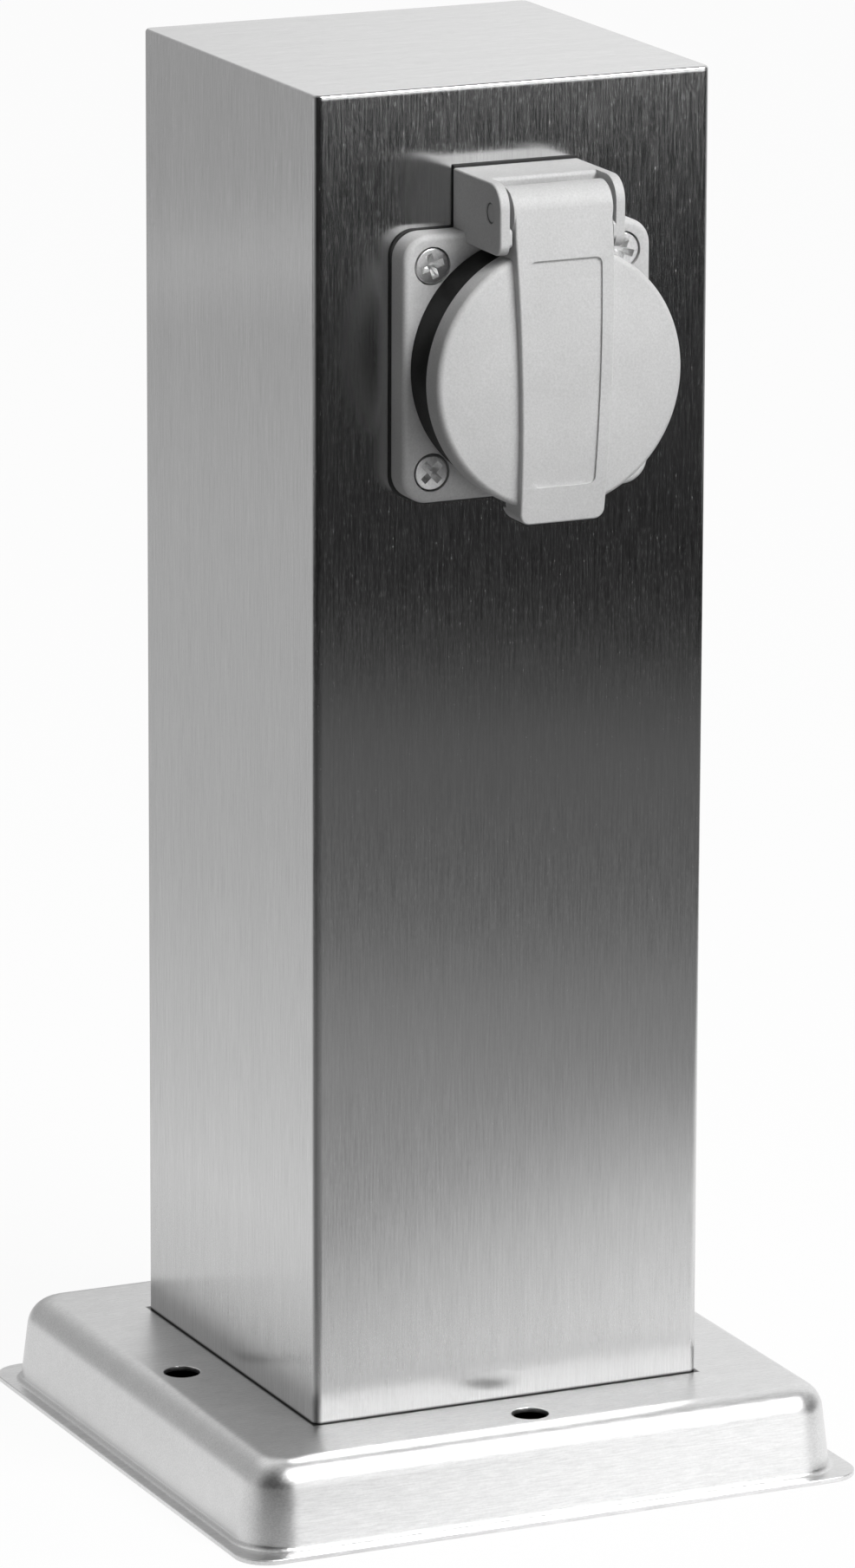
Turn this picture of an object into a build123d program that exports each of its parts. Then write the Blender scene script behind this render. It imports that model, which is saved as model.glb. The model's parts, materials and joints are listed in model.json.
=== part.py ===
"""Garden socket: a short square column of stainless sheet on a pressed base pan, with one
panel socket outlet under a spring-loaded hinged lid on its front.

Millimetres, +Z up, front of the column toward -Y. The origin is the centre of the base on the
ground. Depths on the socket are measured forward from the column's front face.
"""
from build123d import *
import math
import os

os.makedirs("parts", exist_ok=True)

# How far a cutting shape reaches past what it cuts.
CUT_MARGIN = 1.0

# Sheet metal of the column and the base.
SHEET = 1.0
COLUMN_WIDTH = 80.0
COLUMN_HEIGHT = 253.0
COLUMN_BEND = 1.6
COLUMN_TOP_EDGE = 0.7
FOOT_FLANGE = 12.5

BASE_HEIGHT = 17.4
BASE_LEDGE = 19.5
BASE_FLARE_OUT = 2.1
BASE_LIP = 2.6
BASE_LIP_CORNER = 6.5
BASE_WALL_CORNER = 10.0
BASE_TOP_EDGE = 5.5
BASE_FOOT_FILLET = 1.2

FIXING_STANDOFF = 10.0
FIXING_HOLE_R = 3.5

# Screws that hold the column down on the base, put in from below.
COLUMN_SCREW_INSET = 8.5
M4_SHANK_R = 1.98
M4_THREAD_R = 2.0
M4_CLEARANCE_R = 2.25
COLUMN_SCREW_HEAD_R = 4.0
COLUMN_SCREW_HEAD = 2.4
COLUMN_SCREW_LENGTH = 8.0
NUT_BODY_R = 4.0
NUT_BODY = 3.2
NUT_SPIGOT_R = 2.9

# Cable entry in the middle of the base.
GROMMET_BORE_R = 4.5
GROMMET_NECK_R = 9.0
GROMMET_RIM_R = 11.5
GROMMET_LOWER_RIM = 2.0
GROMMET_UPPER_RIM = 2.0
GROMMET_CONE = 3.0
GROMMET_CONE_R = 7.0

# Earth stud on the base, inside the column.
STUD_X = 18.0
STUD_FOOT_R = 3.6
STUD_FOOT = 0.8
STUD_LENGTH = 14.0
WASHER_R = 4.4
WASHER = 0.8
STUD_NUT_FLATS = 7.0
STUD_NUT = 3.2

# Socket outlet on the front.
SOCKET_BELOW_TOP = 51.2
CUTOUT_R = 22.25
GASKET = 0.6
GASKET_INSET = 0.3
FLANGE_SIZE = 50.0
FLANGE_CORNER = 5.0
FLANGE_FRONT = 6.0
FLANGE_EDGE = 1.1
FLANGE_BORE_R = 20.9
FLANGE_SCREW_PITCH = 38.5
FLANGE_SCREW_HEAD_R = 3.45
FLANGE_SCREW_HEAD = 2.9
FLANGE_SCREW_EDGE = 0.3
FLANGE_SCREW_RECESS_R = 3.6
FLANGE_SCREW_RECESS = 3.0
FLANGE_SCREW_LENGTH = 10.0

# Hinge housing, moulded in one with the flange. Heights are above the socket's centre.
HINGE_HEIGHT = 30.4
HINGE_FORWARD = 16.4
HOUSING_HALF = 12.6
HOUSING_INNER_HALF = 10.7
HOUSING_TOP = HINGE_HEIGHT + 5.6
HOUSING_BACK = 11.5
HOUSING_BACK_BOTTOM = 24.6
HOUSING_ROOF = 12.6
HOUSING_FRONT = HINGE_FORWARD + 4.4
HOUSING_CHEEK_BOTTOM = 22.9
HOUSING_FRONT_TOP_R = 4.5
HOUSING_FRONT_BOTTOM_R = 2.3
HINGE_PIN_R = 2.0
HINGE_RUNNING = 0.05
PIN_SINK = 0.3
BARREL_R = 4.7
BARREL_GAP = 0.45
BARREL_HALF = 9.9
ROOF_EDGE = 0.8
NUB_STAND = 0.5
NUB_TOP = 28.0
NUB_BOTTOM = 24.4
NUB_BACK = 18.0
NUB_CORNER = 1.0
HOUSING_EDGE = 0.4
CAD_MATCH = 0.01

# Black insert with the plug recess.
COLLAR_R = 23.6
COLLAR_FRONT = 14.9
COLLAR_EDGE = 0.5
SPIGOT_R = 21.9
SPIGOT_FRONT = 16.9
SPIGOT_EDGE = 0.4
INSERT_BODY_R = 20.75
RECESS_R = 19.75
RECESS_DEPTH = 17.5
RECESS_FLOOR = 3.0
PIN_SPACING = 19.0
PIN_ENTRY_R = 2.75
RIB_INNER = 17.2
RIB_WIDTH = 4.6
RIB_SHORT = 2.0
RIB_ROOT = 0.5
EARTH_SLOT_WIDTH = 8.8
EARTH_SLOT_INNER = 17.5
EARTH_SLOT_OUTER = 19.2
SEAL_INNER_R = 21.7
SEAL_OUTER_R = 22.8
SEAL_DEPTH = 0.9
CENTRE_SCREW_HEAD_R = 3.0
CENTRE_SCREW_HEAD = 1.7
CENTRE_SCREW_R = 1.5
CENTRE_SCREW_LENGTH = 12.0

# Contact carrier behind the insert, and the contacts in it.
CARRIER_R = 21.8
CARRIER_BORE_R = 20.85
CARRIER_DEPTH = 24.6
CONTACT_SHEET = 0.8
CONTACT_ROOM = 0.2
SLEEVE_R = 3.05
SLEEVE_BORE_R = 2.43
SLEEVE_SLIT = 0.7
SLEEVE_START = 1.0
CHAMBER_R = 3.5
TERMINAL_FLOOR = 15.6
TERMINAL_HALF = 3.6
POCKET_CLEARANCE = 0.7
LIVE_TERMINAL_HEIGHT = 9.4
EARTH_TERMINAL_DROP = 12.2
CLAMP_PLATE = 1.0
CLAMP_PLATE_HALF = 3.3
CLAMP_PLATE_CORNER = 0.6
TERMINAL_SCREW_R = 1.75
TERMINAL_SCREW_HEAD_R = 2.9
TERMINAL_SCREW_HEAD = 2.4
TERMINAL_SCREW_REACH = 6.0

EARTH_STRAP_WIDTH = 8.0
EARTH_ARM_HEIGHT = 18.6
EARTH_NOSE_HEIGHT = 16.9
EARTH_NOSE_FORWARD = 9.0
EARTH_TIP_HEIGHT = 17.9
EARTH_TIP_FORWARD = 12.5
EARTH_ARM_STRAIGHT = 4.0
EARTH_ARM_BEND = 1.0

# Hinged lid.
LID_DROP = 0.5
LID_R = 24.7
LID_RIM_BACK = 15.2
LID_SKIRT_BORE_R = 22.9
LID_SEAT = 18.7
LID_POCKET_R = 18.5
LID_POCKET = 19.9
LID_FACE = 22.15
LID_DOME_R = 160.0
LID_FACE_EDGE_R = 1.3
LID_SEAL_INNER_R = 19.0
LID_SEAL_OUTER_R = 22.7
LID_SEAL = 1.5

STRAP_PEAK = 23.3
STRAP_PEAK_HEIGHT = 1.2
STRAP_HALF_TOP = 9.8
STRAP_HALF_BOTTOM = 8.45
STRAP_TAPER_START = 22.0
STRAP_BOTTOM = -27.1
STRAP_CORNER = 2.0
STRAP_EDGE = 0.4
TAB_BACK = 14.0
TAB_TOP = -24.9
TAB_CORNER = 1.8
PANEL_DEPTH = 0.45
PANEL_TOP = 22.0
PANEL_BOTTOM = -20.2
PANEL_HALF_TOP = 7.3
PANEL_HALF_BOTTOM = 6.2
PANEL_CORNER = 1.3

# Torsion spring round the hinge pin.
SPRING_WIRE_R = 0.4
SPRING_COIL_R = 3.0
SPRING_TURNS = 6
SPRING_STEPS = 12
SPRING_LENGTH = 7.8
SPRING_LEG_BACK = 8.0
SPRING_LEG_FRONT = 3.6
SPRING_POCKET_HALF = 4.8
SPRING_POCKET_R = 3.9
SPRING_HOLE_R = 0.5
SPRING_MOUTH = 1.9

# Bonding lead from the socket's earth terminal down to the earth stud.
LEAD_R = 1.5
LEAD_BEND = 8.0
LUG_R = 3.4
LUG_BARREL_R = 1.9
LUG_BARREL = 5.0
LUG_TONGUE = 2.2

# Places worked out from the sizes above.
BASE_WALL_TOP_HALF = COLUMN_WIDTH / 2 + BASE_LEDGE
BASE_WALL_FOOT_HALF = BASE_WALL_TOP_HALF + BASE_FLARE_OUT
BASE_LIP_HALF = BASE_WALL_FOOT_HALF + BASE_LIP
BASE_FLARE = math.degrees(math.atan(BASE_FLARE_OUT / BASE_HEIGHT))
FIXING_CIRCLE = COLUMN_WIDTH + 2 * FIXING_STANDOFF
COLUMN_SCREW_PITCH = COLUMN_WIDTH - 2 * COLUMN_SCREW_INSET
COLUMN_TOP = BASE_HEIGHT + COLUMN_HEIGHT
SOCKET_HEIGHT = COLUMN_TOP - SOCKET_BELOW_TOP
FACE_Y = -COLUMN_WIDTH / 2
INSERT_FLOOR = SPIGOT_FRONT - RECESS_DEPTH
CARRIER_FACE = INSERT_FLOOR - RECESS_FLOOR
STUD_Y = FACE_Y + TERMINAL_FLOOR + CONTACT_SHEET + CLAMP_PLATE + CONTACT_SHEET / 2
FACE_SCREW_SPOTS = [
    (side * FLANGE_SCREW_PITCH / 2, level * FLANGE_SCREW_PITCH / 2)
    for side in (-1, 1)
    for level in (-1, 1)
]
COLUMN_SCREW_SPOTS = [
    (side * COLUMN_SCREW_PITCH / 2, depth * COLUMN_SCREW_PITCH / 2)
    for side in (-1, 1)
    for depth in (-1, 1)
]
PIN_SPOTS = [(-PIN_SPACING / 2, 0.0), (PIN_SPACING / 2, 0.0)]
TERMINAL_SPOTS = [
    (-PIN_SPACING / 2, LIVE_TERMINAL_HEIGHT),
    (PIN_SPACING / 2, LIVE_TERMINAL_HEIGHT),
    (0.0, -EARTH_TERMINAL_DROP),
]


def front_plane(forward, height=0.0):
    """Plane parallel to the column's front: x to the right, y up, outward along its normal."""
    origin = (0, FACE_Y - forward, SOCKET_HEIGHT + height)
    return Plane(origin=origin, x_dir=(1, 0, 0), z_dir=(0, -1, 0))


def side_plane(across=0.0):
    """Plane of a side view: x is the depth in front of the column, y the height."""
    origin = (across, FACE_Y, SOCKET_HEIGHT)
    return Plane(origin=origin, x_dir=(0, -1, 0), z_dir=(-1, 0, 0))


def turning_plane(height=0.0):
    """Plane of a half section that is turned about the socket's axis: x is the radius."""
    origin = (0, FACE_Y, SOCKET_HEIGHT + height)
    return Plane(origin=origin, x_dir=(1, 0, 0), z_dir=(0, 0, -1))


def socket_axis(height=0.0):
    """Axis of the socket, or of the lid, pointing out of the column."""
    return Axis((0, FACE_Y, SOCKET_HEIGHT + height), (0, -1, 0))


def save(name, builder):
    """Label a finished piece, write it and print its volume."""
    builder.part.label = name
    export_step(builder.part, "parts/" + name + ".step")
    print(name, len(builder.part.solids()), "solid(s)", round(builder.part.volume, 1), "mm3")


# Column: one folded and welded sheet body with a closed top and four inward foot flanges.
with BuildPart() as column_shell:
    with BuildSketch(Plane.XY.offset(BASE_HEIGHT)):
        RectangleRounded(COLUMN_WIDTH, COLUMN_WIDTH, COLUMN_BEND)
    extrude(amount=COLUMN_HEIGHT)
    fillet(column_shell.faces().sort_by(Axis.Z)[-1].edges(), COLUMN_TOP_EDGE)
    with BuildSketch(Plane.XY.offset(BASE_HEIGHT + SHEET)):
        inner_width = COLUMN_WIDTH - 2 * SHEET
        RectangleRounded(inner_width, inner_width, COLUMN_BEND - SHEET)
    extrude(amount=COLUMN_HEIGHT - 2 * SHEET, mode=Mode.SUBTRACT)
    with BuildSketch(Plane.XY.offset(BASE_HEIGHT)):
        foot_opening = COLUMN_WIDTH - 2 * FOOT_FLANGE
        RectangleRounded(foot_opening, foot_opening, COLUMN_BEND)
        with Locations(*COLUMN_SCREW_SPOTS):
            Circle(NUT_SPIGOT_R)
    extrude(amount=SHEET, mode=Mode.SUBTRACT)
    with BuildSketch(front_plane(0)):
        Circle(CUTOUT_R)
        with Locations(*FACE_SCREW_SPOTS):
            Circle(NUT_SPIGOT_R)
    extrude(amount=-SHEET, mode=Mode.SUBTRACT)
save("column_shell", column_shell)

# Base: a pressed pan with a flared wall, a well rounded rim and an outward lip on the ground.
with BuildPart() as base_pan:
    with BuildSketch(Plane.XY):
        RectangleRounded(2 * BASE_WALL_FOOT_HALF, 2 * BASE_WALL_FOOT_HALF, BASE_WALL_CORNER)
    extrude(amount=BASE_HEIGHT, taper=BASE_FLARE)
    fillet(base_pan.faces().sort_by(Axis.Z)[-1].edges(), BASE_TOP_EDGE)
    with BuildSketch(Plane.XY):
        RectangleRounded(2 * BASE_LIP_HALF, 2 * BASE_LIP_HALF, BASE_LIP_CORNER)
    extrude(amount=SHEET)
    wall_foot = base_pan.edges().filter_by_position(Axis.Z, SHEET, SHEET).filter_by(
        lambda edge: max(abs(edge.center().X), abs(edge.center().Y)) < BASE_WALL_FOOT_HALF
    )
    fillet(wall_foot, BASE_FOOT_FILLET)

with BuildPart() as base_hollow:
    with BuildSketch(Plane.XY):
        foot_inner = 2 * (BASE_WALL_FOOT_HALF - SHEET)
        RectangleRounded(foot_inner, foot_inner, BASE_WALL_CORNER - SHEET)
    extrude(amount=BASE_HEIGHT - SHEET, taper=BASE_FLARE)
    fillet(base_hollow.faces().sort_by(Axis.Z)[-1].edges(), BASE_TOP_EDGE - SHEET)

with base_pan:
    add(base_hollow.part, mode=Mode.SUBTRACT)
    with BuildSketch(Plane.XY.offset(BASE_HEIGHT - SHEET)):
        with PolarLocations(FIXING_CIRCLE / 2, 4):
            Circle(FIXING_HOLE_R)
        with Locations(*COLUMN_SCREW_SPOTS):
            Circle(M4_CLEARANCE_R)
        Circle(GROMMET_NECK_R)
    extrude(amount=SHEET, mode=Mode.SUBTRACT)
save("base_pan", base_pan)

# Screws from below through the base into the column's foot flanges.
with BuildPart() as column_screws:
    with BuildSketch(Plane.XY.offset(BASE_HEIGHT - SHEET)):
        with Locations(*COLUMN_SCREW_SPOTS):
            Circle(COLUMN_SCREW_HEAD_R)
    extrude(amount=-COLUMN_SCREW_HEAD)
    with BuildSketch(Plane.XY.offset(BASE_HEIGHT - SHEET)):
        with Locations(*COLUMN_SCREW_SPOTS):
            Circle(M4_SHANK_R)
    extrude(amount=COLUMN_SCREW_LENGTH)
save("column_screws", column_screws)


def clinch_nuts(sheet_plane, spots):
    """Press-in nuts whose spigots fill the sheet; the plane lies on the sheet's nut side."""
    with BuildPart() as nuts:
        with BuildSketch(sheet_plane):
            with Locations(*spots):
                Circle(NUT_BODY_R)
        extrude(amount=NUT_BODY)
        with BuildSketch(sheet_plane):
            with Locations(*spots):
                Circle(NUT_SPIGOT_R)
        extrude(amount=-SHEET)
        with BuildSketch(sheet_plane.offset(-SHEET)):
            with Locations(*spots):
                Circle(M4_THREAD_R)
        extrude(amount=SHEET + NUT_BODY, mode=Mode.SUBTRACT)
    return nuts


column_nuts = clinch_nuts(Plane.XY.offset(BASE_HEIGHT + SHEET), COLUMN_SCREW_SPOTS)
save("column_nuts", column_nuts)

# Rubber grommet that seals the supply cable where it comes up through the base.
with BuildPart() as cable_grommet:
    with BuildSketch(Plane.XZ):
        with BuildLine():
            sheet_bottom = BASE_HEIGHT - SHEET
            bottom = sheet_bottom - GROMMET_LOWER_RIM
            rim_top = BASE_HEIGHT + GROMMET_UPPER_RIM
            top = rim_top + GROMMET_CONE
            Polyline(
                (GROMMET_BORE_R, bottom),
                (GROMMET_RIM_R, bottom),
                (GROMMET_RIM_R, sheet_bottom),
                (GROMMET_NECK_R, sheet_bottom),
                (GROMMET_NECK_R, BASE_HEIGHT),
                (GROMMET_RIM_R, BASE_HEIGHT),
                (GROMMET_RIM_R, rim_top),
                (GROMMET_CONE_R, top),
                (GROMMET_BORE_R, top),
                close=True,
            )
        make_face()
    revolve(axis=Axis.Z)
save("cable_grommet", cable_grommet)

# Earth stud welded on the base, with its washer and nut over the bonding lead's lug.
LUG_SEAT = BASE_HEIGHT + STUD_FOOT + WASHER

with BuildPart() as earth_stud:
    with BuildSketch(Plane.XY.offset(BASE_HEIGHT)):
        with Locations((STUD_X, STUD_Y)):
            Circle(STUD_FOOT_R)
    extrude(amount=STUD_FOOT)
    with BuildSketch(Plane.XY.offset(BASE_HEIGHT)):
        with Locations((STUD_X, STUD_Y)):
            Circle(M4_SHANK_R)
    extrude(amount=STUD_LENGTH)
save("earth_stud", earth_stud)

with BuildPart() as earth_washer:
    with BuildSketch(Plane.XY.offset(BASE_HEIGHT + STUD_FOOT)):
        with Locations((STUD_X, STUD_Y)):
            Circle(WASHER_R)
            Circle(M4_THREAD_R, mode=Mode.SUBTRACT)
    extrude(amount=WASHER)
save("earth_washer", earth_washer)

with BuildPart() as earth_nut:
    with BuildSketch(Plane.XY.offset(LUG_SEAT + CONTACT_SHEET)):
        with Locations((STUD_X, STUD_Y)):
            RegularPolygon(STUD_NUT_FLATS / 2, 6, major_radius=False)
            Circle(M4_THREAD_R, mode=Mode.SUBTRACT)
    extrude(amount=STUD_NUT)
save("earth_nut", earth_nut)

# Gasket between the flange and the column, set in a little from the flange's outline.
with BuildPart() as flange_gasket:
    with BuildSketch(front_plane(0)):
        gasket_size = FLANGE_SIZE - 2 * GASKET_INSET
        RectangleRounded(gasket_size, gasket_size, FLANGE_CORNER - GASKET_INSET)
        tongue_top = HOUSING_TOP - GASKET_INSET
        with Locations((0, tongue_top / 2)):
            Rectangle(2 * (HOUSING_HALF - GASKET_INSET), tongue_top)
        Circle(CUTOUT_R, mode=Mode.SUBTRACT)
        with Locations(*FACE_SCREW_SPOTS):
            Circle(M4_CLEARANCE_R, mode=Mode.SUBTRACT)
    extrude(amount=GASKET)
save("flange_gasket", flange_gasket)

# Flange with the hinge housing: a roof, a back block and two cheeks round the hinge barrel.
with BuildPart() as socket_flange:
    with BuildSketch(front_plane(GASKET)):
        RectangleRounded(FLANGE_SIZE, FLANGE_SIZE, FLANGE_CORNER)
    extrude(amount=FLANGE_FRONT - GASKET)
    front_face = socket_flange.faces().sort_by(Axis.Y)[0]
    fillet(front_face.edges(), FLANGE_EDGE)
    with BuildSketch(side_plane()):
        with BuildLine():
            cheek = FilletPolyline(
                (GASKET, HOUSING_TOP),
                (HOUSING_FRONT, HOUSING_TOP),
                (HOUSING_FRONT, HOUSING_CHEEK_BOTTOM),
                (GASKET, HOUSING_CHEEK_BOTTOM),
                radius=(HOUSING_FRONT_TOP_R, HOUSING_FRONT_BOTTOM_R),
            )
            Line(cheek @ 1, cheek @ 0)
        make_face()
    extrude(amount=HOUSING_HALF, both=True)
    cheek_rim = socket_flange.edges().filter_by(
        lambda edge: math.isclose(abs(edge.center().X), HOUSING_HALF, abs_tol=CAD_MATCH)
        and FACE_Y - edge.center().Y > FLANGE_FRONT + HOUSING_EDGE
    )
    fillet(cheek_rim, HOUSING_EDGE)
    # The room between the cheeks in front of the back block and the roof.
    with BuildSketch(side_plane()):
        with BuildLine():
            Polyline(
                (FLANGE_FRONT, HOUSING_CHEEK_BOTTOM - CUT_MARGIN),
                (FLANGE_FRONT, HOUSING_BACK_BOTTOM),
                (HOUSING_BACK, HOUSING_BACK_BOTTOM),
                (HOUSING_BACK, HINGE_HEIGHT),
                (HOUSING_ROOF, HINGE_HEIGHT),
                (HOUSING_ROOF, HOUSING_TOP + CUT_MARGIN),
                (HOUSING_FRONT + CUT_MARGIN, HOUSING_TOP + CUT_MARGIN),
                (HOUSING_FRONT + CUT_MARGIN, HOUSING_CHEEK_BOTTOM - CUT_MARGIN),
                close=True,
            )
        make_face()
        with Locations((HINGE_FORWARD, HINGE_HEIGHT)):
            Circle(BARREL_R + BARREL_GAP)
    extrude(amount=HOUSING_INNER_HALF, both=True, mode=Mode.SUBTRACT)
    roof_edge = socket_flange.edges().filter_by(Axis.X).sort_by_distance(
        (0, FACE_Y - HOUSING_ROOF, SOCKET_HEIGHT + HOUSING_TOP)
    )[0]
    fillet(roof_edge, ROOF_EDGE)
    # Two low nubs that guide the strap's sides between the cheeks.
    for side in (-1, 1):
        with BuildSketch(side_plane(side * HOUSING_INNER_HALF)):
            with Locations(((NUB_BACK + HOUSING_FRONT) / 2, (NUB_TOP + NUB_BOTTOM) / 2)):
                RectangleRounded(HOUSING_FRONT - NUB_BACK, NUB_TOP - NUB_BOTTOM, NUB_CORNER)
        extrude(amount=side * NUB_STAND)
    with BuildSketch(side_plane()):
        with Locations((HINGE_FORWARD, HINGE_HEIGHT)):
            Circle(HINGE_PIN_R)
    extrude(amount=HOUSING_HALF, both=True, mode=Mode.SUBTRACT)
    # Hole in the back block that holds the spring's rear leg.
    with BuildSketch(front_plane(HINGE_FORWARD)):
        with Locations((-SPRING_LENGTH / 2, HINGE_HEIGHT - SPRING_COIL_R)):
            Circle(SPRING_HOLE_R)
    extrude(amount=-(SPRING_LEG_BACK + SPRING_HOLE_R), mode=Mode.SUBTRACT)
    with BuildSketch(front_plane(GASKET)):
        Circle(FLANGE_BORE_R)
        with Locations(*FACE_SCREW_SPOTS):
            Circle(M4_CLEARANCE_R)
    extrude(amount=FLANGE_FRONT - GASKET, mode=Mode.SUBTRACT)
    with BuildSketch(front_plane(FLANGE_FRONT - FLANGE_SCREW_RECESS)):
        with Locations(*FACE_SCREW_SPOTS):
            Circle(FLANGE_SCREW_RECESS_R)
    extrude(amount=FLANGE_SCREW_RECESS, mode=Mode.SUBTRACT)
save("socket_flange", socket_flange)

# Four screws that hold the flange, with heads level with the flange's front.
with BuildPart() as flange_screws:
    head_seat = FLANGE_FRONT - FLANGE_SCREW_RECESS
    with BuildSketch(front_plane(head_seat)):
        with Locations(*FACE_SCREW_SPOTS):
            Circle(FLANGE_SCREW_HEAD_R)
    extrude(amount=FLANGE_SCREW_HEAD)
    chamfer(
        flange_screws.edges().filter_by(GeomType.CIRCLE).group_by(Axis.Y)[0],
        FLANGE_SCREW_EDGE,
    )
    with BuildSketch(front_plane(head_seat)):
        with Locations(*FACE_SCREW_SPOTS):
            Circle(M4_SHANK_R)
    extrude(amount=-FLANGE_SCREW_LENGTH)
save("flange_screws", flange_screws)

inside_of_front = Plane(
    origin=(0, FACE_Y + SHEET, SOCKET_HEIGHT), x_dir=(1, 0, 0), z_dir=(0, 1, 0)
)
flange_nuts = clinch_nuts(inside_of_front, FACE_SCREW_SPOTS)
save("flange_nuts", flange_nuts)

# Black insert: collar and spigot in front of the flange, cup-shaped plug recess behind.
with BuildPart() as socket_insert:
    with BuildSketch(turning_plane()):
        with BuildLine():
            Polyline(
                (0, CARRIER_FACE),
                (INSERT_BODY_R, CARRIER_FACE),
                (INSERT_BODY_R, FLANGE_FRONT),
                (SEAL_INNER_R, FLANGE_FRONT),
                (SEAL_INNER_R, FLANGE_FRONT + SEAL_DEPTH),
                (SEAL_OUTER_R, FLANGE_FRONT + SEAL_DEPTH),
                (SEAL_OUTER_R, FLANGE_FRONT),
                (COLLAR_R, FLANGE_FRONT),
                (COLLAR_R, COLLAR_FRONT - COLLAR_EDGE),
                (COLLAR_R - COLLAR_EDGE, COLLAR_FRONT),
                (SPIGOT_R, COLLAR_FRONT),
                (SPIGOT_R, SPIGOT_FRONT - SPIGOT_EDGE),
                (SPIGOT_R - SPIGOT_EDGE, SPIGOT_FRONT),
                (RECESS_R + SPIGOT_EDGE, SPIGOT_FRONT),
                (RECESS_R, SPIGOT_FRONT - SPIGOT_EDGE),
                (RECESS_R, INSERT_FLOOR),
                (0, INSERT_FLOOR),
                close=True,
            )
        make_face()
    revolve(axis=socket_axis())
    # Guide ribs at the sides of the recess; the outer part merges with the recess wall.
    for side in (-1, 1):
        rib_outer = RECESS_R + RIB_ROOT
        with BuildSketch(front_plane(INSERT_FLOOR)):
            with Locations((side * (RIB_INNER + rib_outer) / 2, 0)):
                Rectangle(rib_outer - RIB_INNER, RIB_WIDTH)
        extrude(amount=RECESS_DEPTH - RIB_SHORT)
    with BuildSketch(front_plane(CARRIER_FACE)):
        with Locations(*PIN_SPOTS):
            Circle(PIN_ENTRY_R)
        Circle(CENTRE_SCREW_R)
        slot_height = EARTH_SLOT_OUTER - EARTH_SLOT_INNER
        for level in (-1, 1):
            with Locations((0, level * (EARTH_SLOT_OUTER + EARTH_SLOT_INNER) / 2)):
                Rectangle(EARTH_SLOT_WIDTH, slot_height)
    extrude(amount=RECESS_FLOOR, mode=Mode.SUBTRACT)
    with BuildSketch(turning_plane()):
        with BuildLine():
            Polyline(
                (0, INSERT_FLOOR),
                (CENTRE_SCREW_HEAD_R, INSERT_FLOOR),
                (CENTRE_SCREW_R, INSERT_FLOOR - CENTRE_SCREW_HEAD),
                (0, INSERT_FLOOR - CENTRE_SCREW_HEAD),
                close=True,
            )
        make_face()
    revolve(axis=socket_axis(), mode=Mode.SUBTRACT)
save("socket_insert", socket_insert)

# Rubber ring in the back of the collar that seals the insert on the flange.
with BuildPart() as insert_seal:
    with BuildSketch(front_plane(FLANGE_FRONT)):
        Circle(SEAL_OUTER_R)
        Circle(SEAL_INNER_R, mode=Mode.SUBTRACT)
    extrude(amount=SEAL_DEPTH)
save("insert_seal", insert_seal)

# Contact carrier: a cup whose rim clamps the flange against the collar.
pocket_half = TERMINAL_HALF + POCKET_CLEARANCE
with BuildPart() as contact_carrier:
    with BuildSketch(front_plane(-CARRIER_DEPTH)):
        Circle(CARRIER_R)
    extrude(amount=CARRIER_DEPTH + GASKET)
    with BuildSketch(front_plane(CARRIER_FACE)):
        Circle(CARRIER_BORE_R)
    extrude(amount=GASKET - CARRIER_FACE, mode=Mode.SUBTRACT)
    with BuildSketch(front_plane(CARRIER_FACE)):
        Rectangle(
            EARTH_STRAP_WIDTH + CONTACT_ROOM, 2 * (EARTH_ARM_HEIGHT + CONTACT_SHEET)
        )
    extrude(amount=-CONTACT_SHEET, mode=Mode.SUBTRACT)
    with BuildSketch(front_plane(-TERMINAL_FLOOR)):
        with Locations(*PIN_SPOTS):
            Circle(CHAMBER_R)
    extrude(amount=TERMINAL_FLOOR + CARRIER_FACE, mode=Mode.SUBTRACT)
    with BuildSketch(front_plane(-TERMINAL_FLOOR)):
        with Locations(*TERMINAL_SPOTS):
            Circle(TERMINAL_SCREW_R)
    extrude(amount=TERMINAL_SCREW_REACH, mode=Mode.SUBTRACT)
    # Slot for the tab that joins the earth strap with its terminal.
    tab_level = -(EARTH_TERMINAL_DROP - TERMINAL_HALF)
    with BuildSketch(front_plane(-TERMINAL_FLOOR)):
        with Locations((0, tab_level - CONTACT_SHEET / 2)):
            Rectangle(2 * TERMINAL_HALF + CONTACT_ROOM, CONTACT_SHEET + CONTACT_ROOM)
        Circle(CENTRE_SCREW_R)
    extrude(amount=TERMINAL_FLOOR + CARRIER_FACE, mode=Mode.SUBTRACT)
    # Terminal pockets, open to the back; the earth pocket is open below as well.
    with BuildSketch(front_plane(-TERMINAL_FLOOR)):
        for side in (-1, 1):
            pocket_top = LIVE_TERMINAL_HEIGHT + pocket_half
            pocket_bottom = -CHAMBER_R - POCKET_CLEARANCE
            with Locations((side * PIN_SPACING / 2, (pocket_top + pocket_bottom) / 2)):
                Rectangle(2 * pocket_half, pocket_top - pocket_bottom)
        earth_top = -EARTH_TERMINAL_DROP + pocket_half
        with Locations((0, (earth_top - CARRIER_R - CUT_MARGIN) / 2)):
            Rectangle(2 * pocket_half, earth_top + CARRIER_R + CUT_MARGIN)
    extrude(amount=-(CARRIER_DEPTH - TERMINAL_FLOOR), mode=Mode.SUBTRACT)
save("contact_carrier", contact_carrier)


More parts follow.
